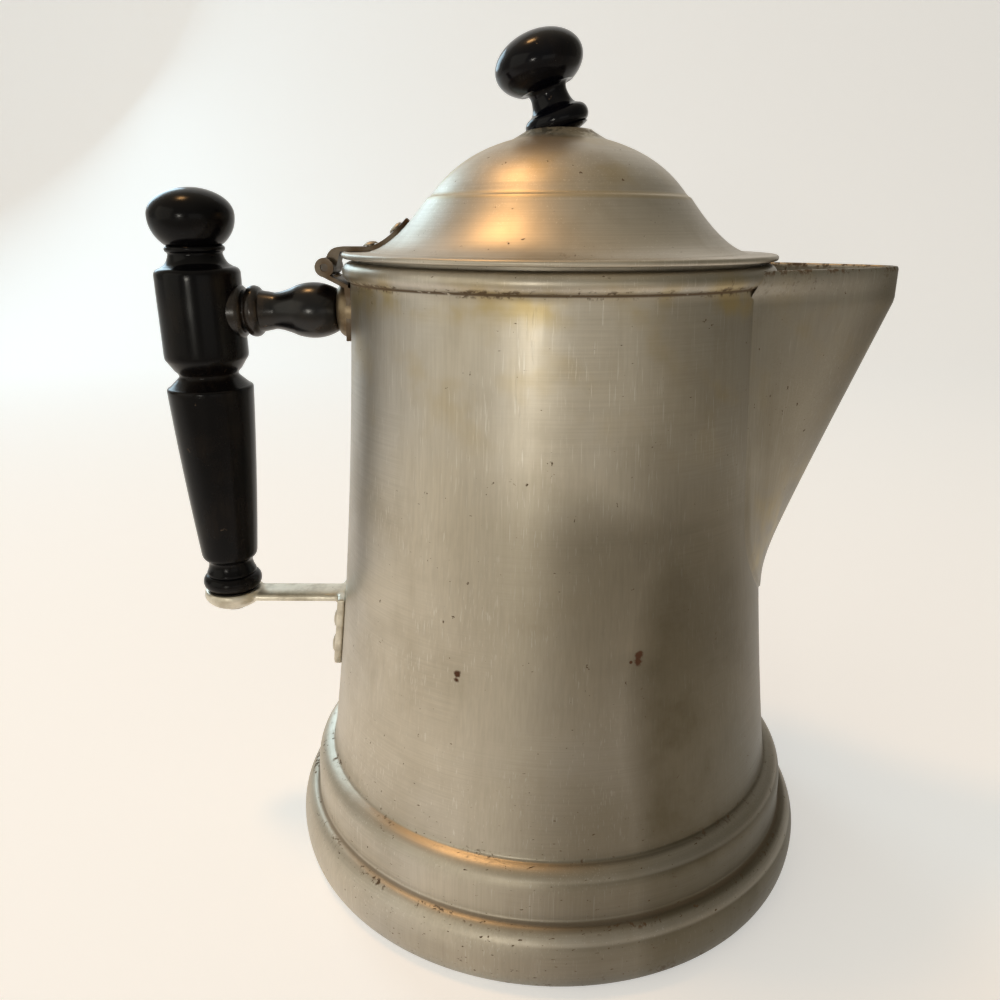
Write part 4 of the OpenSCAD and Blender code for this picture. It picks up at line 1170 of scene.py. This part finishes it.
class COFFEEPOT_OT_bracket(bpy.types.Operator):
    """Casts the bracket under the grip: strap, domed pad and riveted plate in one soft form"""

    bl_idname = "coffee_pot.bracket"
    bl_label = "Bracket"

    def execute(self, context):
        p = settings().handle
        finish = settings().finish
        rim = settings().shell.rim
        pad_z = rim - p.drop - p.down * math.cos(p.lean) - SEAT
        pad_x = p.reach - p.down * math.sin(p.lean)
        bm = bmesh.new()
        pad = [(0.0, 0.0), (p.pad - 0.4 * MM, 0.0)]
        pad += arc((0.0, -p.strap_t * 0.45), p.pad, p.strap_t * 0.55 + p.pad_dome, -5, -88, 16)
        pad += [(0.0, -p.strap_t - p.pad_dome)]
        spun(bm, pad, 72, matrix=grip_frame() @ Matrix.Translation((0, 0, -p.down - SEAT)))
        self.strap(bm, p, pad_x, pad_z)
        self.plate(bm, p, pad_z)
        piece = to_object(bm, "cast_bracket")
        skin = piece.modifiers.new("cast", "REMESH")
        skin.mode = "VOXEL"
        skin.voxel_size = 0.42 * MM
        soft = piece.modifiers.new("soft", "SMOOTH")
        soft.factor = 0.5
        soft.iterations = 7
        baked(piece)
        metal = old_metal("cast_metal", tuple(finish.cast), tuple(finish.tarnish), 0.40, 800.0, 0.6)
        dressed(piece, "pot", "cast_aluminium", (metal,), "handle_bracket", sharp=80.0)
        return {"FINISHED"}

    def strap(self, bm, p, pad_x, pad_z):
        """The strap from the pad to the wall, its top domed."""
        section = [(-p.strap_w / 2, 0.0), (p.strap_w / 2, 0.0)]
        section += arc((0.0, p.strap_t * 0.45), p.strap_w / 2, p.strap_t * 0.55, 0, 180, 18)
        ends = (-pad_x, -wall_radius(pad_z) - 0.4 * MM)
        rows = 12
        rings = []
        for i in range(rows + 1):
            x = ends[0] + (ends[1] - ends[0]) * i / rows
            rings.append([bm.verts.new((x, y, pad_z - p.strap_t + z)) for y, z in section])
        for lower, upper in zip(rings, rings[1:]):
            joined(bm, lower, upper)
        bm.faces.new(rings[0])
        bm.faces.new(rings[-1])

    def plate(self, bm, p, pad_z):
        """The foot plate that lies on the wall, round at its lower end."""
        low = pad_z - p.plate_h
        top = pad_z - 0.2 * p.strap_t
        rows = 30
        rings = []
        for i in range(rows + 1):
            z = low + 0.02 * MM + (top - low) * i / rows
            half = p.plate_w
            if z < low + p.plate_w:
                half = math.sqrt(max(0.04 * MM * MM, p.plate_w**2 - (low + p.plate_w - z) ** 2))
            inner, outer = wall_radius(z) + SEAT, wall_radius(z) + SEAT + p.plate_t
            ring = []
            for radius, sign in ((inner, 1), (outer, -1)):
                for k in range(13):
                    a = math.asin(half / radius) * sign * (k / 6 - 1)
                    ring.append(bm.verts.new((-radius * math.cos(a), radius * math.sin(a), z)))
            rings.append(ring)
        for lower, upper in zip(rings, rings[1:]):
            joined(bm, lower, upper)
        bm.faces.new(rings[0])
        bm.faces.new(rings[-1])


class COFFEEPOT_OT_knob(bpy.types.Operator):
    """Turns the leaning black knob on the lid"""

    bl_idname = "coffee_pot.knob"
    bl_label = "Knob"

    def execute(self, context):
        p = settings().knob
        lid = settings().lid
        finish = settings().finish
        crown_z = settings().shell.rim + lid.gap + lid.brim_t + lid.crown_h
        neck_z = 8.8 * MM
        line = [(0.0, -1.2 * MM), (p.collar - 3.2 * MM, -1.2 * MM)]
        line += bend(
            (p.collar - 2.6 * MM, -1.0 * MM), (p.collar - 1.6 * MM, -0.7 * MM),
            (p.collar - 0.9 * MM, -0.2 * MM), 5,
        )
        line += arc((p.collar - 2 * MM, 2.3 * MM), 2 * MM, 2.4 * MM, -70, 80, 18)
        line += bend((p.collar - 2.2 * MM, 5 * MM), (p.neck + 0.3 * MM, 5.6 * MM), (p.neck, neck_z), 12)
        under = math.radians(-52)
        line += bend(
            (p.neck + 0.1 * MM, neck_z + 0.8 * MM), (p.neck + 0.8 * MM, neck_z + 2.4 * MM),
            (p.ball * math.cos(under), p.up + p.ball_h * math.sin(under)), 8,
        )
        line += arc((0.0, p.up), p.ball, p.ball_h, -50, 87, 40)
        line += [(0.0, p.up + p.ball_h)]
        place = Matrix.Translation((0, 0, crown_z + SEAT)) @ Matrix.Rotation(-p.lean, 4, "Y")
        bm = bmesh.new()
        spun(bm, line, 128, moved=worn_turning, matrix=place)
        cool = tuple(c * k for c, k in zip(finish.ebony, (0.6, 0.75, 1.3)))
        wood = ebonised_wood("knob_wood", cool, tuple(finish.lightened), 0.12, 0.15, 0.18)
        dressed(to_object(bm, "turned_knob"), "lid", "black_wood", (wood,), "lid_knob", sharp=44.0)
        return {"FINISHED"}


def lamp(name, place, target, width, height, power, tint):
    """A soft area lamp that faces a target."""
    light = bpy.data.lights.new(name, "AREA")
    light.shape = "RECTANGLE"
    light.size = width
    light.size_y = height
    light.energy = power
    light.color = tint
    holder = bpy.data.objects.new(name, light)
    holder.location = place
    holder.visible_camera = False
    holder.rotation_euler = (Vector(target) - Vector(place)).to_track_quat("-Z", "Y").to_euler()
    bpy.context.scene.collection.objects.link(holder)


class COFFEEPOT_OT_stage(bpy.types.Operator):
    """Sets up the pale floor, the soft lamps and the camera"""

    bl_idname = "coffee_pot.stage"
    bl_label = "Stage"

    def execute(self, context):
        p = settings().stage
        scene = context.scene
        scene.view_settings.view_transform = "Standard"
        self.floor(p)
        scene.world = self.room(p)
        middle = (0, 0, 0.11)
        lamp("window", (-0.95, -0.55, 0.42), middle, 1.0, 0.9, p.key_power, (1.0, 0.945, 0.80))
        lamp("strip", (-0.33, -1.15, 0.17), (0, 0, 0.14), 0.15, 0.08, p.strip_power, (1.0, 0.96, 0.86))
        lamp("fill", (0.42, -0.88, 0.16), (0, 0, 0.13), 0.62, 0.28, p.fill_power, (1.0, 0.97, 0.90))
        lamp("warm", (-0.28, 0.06, 0.95), (0, 0, 0.15), 0.13, 0.13, p.warm_power, (1.0, 0.55, 0.22))
        lamp("cool", (-0.83, 1.12, 0.676), (0, 0, 0.18), 0.56, 0.56, p.cool_power, (0.58, 0.83, 1.0))
        view = bpy.data.cameras.new("camera")
        view.sensor_width = 36.0
        view.lens = p.lens
        view.clip_start = 0.01
        holder = bpy.data.objects.new("camera", view)
        holder.location = p.camera
        holder.rotation_euler = (math.pi / 2 - p.pitch, 0, 0)
        holder.rotation_euler.rotate_axis("Z", p.roll)
        scene.collection.objects.link(holder)
        scene.camera = holder
        return {"FINISHED"}

    def room(self, p):
        """A dim room with a lighter ceiling."""
        world = bpy.data.worlds.new("room")
        world.use_nodes = True
        tree = world.node_tree
        place = tree.nodes.new("ShaderNodeTexCoord")
        split = tree.nodes.new("ShaderNodeSeparateXYZ")
        rise = tree.nodes.new("ShaderNodeMapRange")
        rise.interpolation_type = "SMOOTHSTEP"
        rise.inputs["From Min"].default_value = 0.15
        rise.inputs["From Max"].default_value = 0.85
        dim = tree.nodes.new("ShaderNodeMapRange")
        dim.interpolation_type = "SMOOTHSTEP"
        dim.inputs["From Min"].default_value = 0.1
        dim.inputs["From Max"].default_value = 0.9
        shaded = tree.nodes.new("ShaderNodeMix")
        shaded.data_type = "RGBA"
        shaded.inputs[7].default_value = (*p.shade, 1.0)
        tone = tree.nodes.new("ShaderNodeMix")
        tone.data_type = "RGBA"
        tone.inputs[6].default_value = (*p.room, 1.0)
        tone.inputs[7].default_value = (*p.ceiling, 1.0)
        tree.links.new(place.outputs["Generated"], split.inputs[0])
        tree.links.new(split.outputs["Z"], rise.inputs["Value"])
        tree.links.new(rise.outputs[0], tone.inputs[0])
        tree.links.new(split.outputs["X"], dim.inputs["Value"])
        tree.links.new(dim.outputs[0], shaded.inputs[0])
        tree.links.new(tone.outputs[2], shaded.inputs[6])
        tree.links.new(shaded.outputs[2], tree.nodes["Background"].inputs["Color"])
        return world

    def floor(self, p):
        """A floor that sweeps up behind the pot."""
        line = [(-2.4, 0.0), (-1.2, 0.0), (-0.4, 0.0), (0.0, 0.0), (0.5, 0.0), (0.9, 0.0)]
        line += arc((line[-1][0], 0.5), 0.5, 0.5, -90, 0, 16)[1:]
        line += [(1.4, 1.0), (1.4, 2.2)]
        bm = bmesh.new()
        columns = [-3.0, -1.0, 0.0, 1.0, 3.0]
        rows = [[bm.verts.new((x, y, z)) for x in columns] for y, z in line]
        for lower, upper in zip(rows, rows[1:]):
            for k in range(len(columns) - 1):
                face = bm.faces.new((lower[k], lower[k + 1], upper[k + 1], upper[k]))
                face.smooth = True
        sweep = to_object(bm, "floor_sweep")
        s = Surface("floor_paper")
        grain = s.noise(s.place, 900.0, 3.0)
        front = s.ramp(s.y, -0.34, -0.06, 1.0, 0.0)
        right = s.ramp(s.math("MULTIPLY_ADD", s.y, -0.55, s.x), 0.14, 0.50)
        left = s.ramp(s.math("MULTIPLY_ADD", s.y, 0.55, s.x), -0.80, -0.25, 1.0, 0.0)
        away = s.most(front, right)
        tone = s.mix(away, tuple(p.floor), tuple(p.floor_far))
        tone = s.mix(s.ramp(grain, 0.3, 0.8, 0.0, 0.03), tone, tuple(p.floor_far))
        s.feed(s.shader.inputs["Base Color"], tone)
        path = s.add("ShaderNodeLightPath").outputs
        seen = s.most(path["Is Camera Ray"], path["Is Glossy Ray"], path["Is Transmission Ray"])
        s.shader.inputs["Emission Color"].default_value = (1.0, 1.0, 1.0, 1.0)
        dull = s.most(away, s.product(left, 0.5))
        glow = s.ramp(dull, 0.0, 1.0, p.glow, 0.25 * p.glow)
        s.feed(s.shader.inputs["Emission Strength"], s.product(seen, glow))
        s.shader.inputs["Roughness"].default_value = 0.9
        s.shader.inputs["Specular IOR Level"].default_value = 0.2
        sweep.data.materials.append(s.material)


STEPS = (
    COFFEEPOT_OT_body, COFFEEPOT_OT_spout, COFFEEPOT_OT_lid, COFFEEPOT_OT_hinge, COFFEEPOT_OT_handle,
    COFFEEPOT_OT_bracket, COFFEEPOT_OT_knob, COFFEEPOT_OT_stage,
)


class COFFEEPOT_PT_panel(bpy.types.Panel):
    """Lists the steps that build the coffee pot"""

    bl_idname = "COFFEEPOT_PT_panel"
    bl_label = "Coffee Pot"
    bl_space_type = "VIEW_3D"
    bl_region_type = "UI"
    bl_category = "Coffee Pot"

    def draw(self, context):
        for operator in STEPS:
            self.layout.operator(operator.bl_idname)


GROUPS = (ShellSizes, SpoutSizes, LidSizes, HandleSizes, KnobSizes, Finishes, StageSettings, PotSettings)
CLASSES = GROUPS + STEPS + (COFFEEPOT_PT_panel,)


def register():
    for cls in CLASSES:
        bpy.utils.register_class(cls)
    bpy.types.Scene.coffee_pot = PointerProperty(type=PotSettings)


def unregister():
    del bpy.types.Scene.coffee_pot
    for cls in reversed(CLASSES):
        bpy.utils.unregister_class(cls)


def main():
    """Builds the pot step by step."""
    register()
    bpy.ops.coffee_pot.body()
    bpy.ops.coffee_pot.spout()
    bpy.ops.coffee_pot.lid()
    bpy.ops.coffee_pot.hinge()
    bpy.ops.coffee_pot.handle()
    bpy.ops.coffee_pot.bracket()
    bpy.ops.coffee_pot.knob()
    bpy.ops.coffee_pot.stage()


if __name__ == "__main__":
    main()
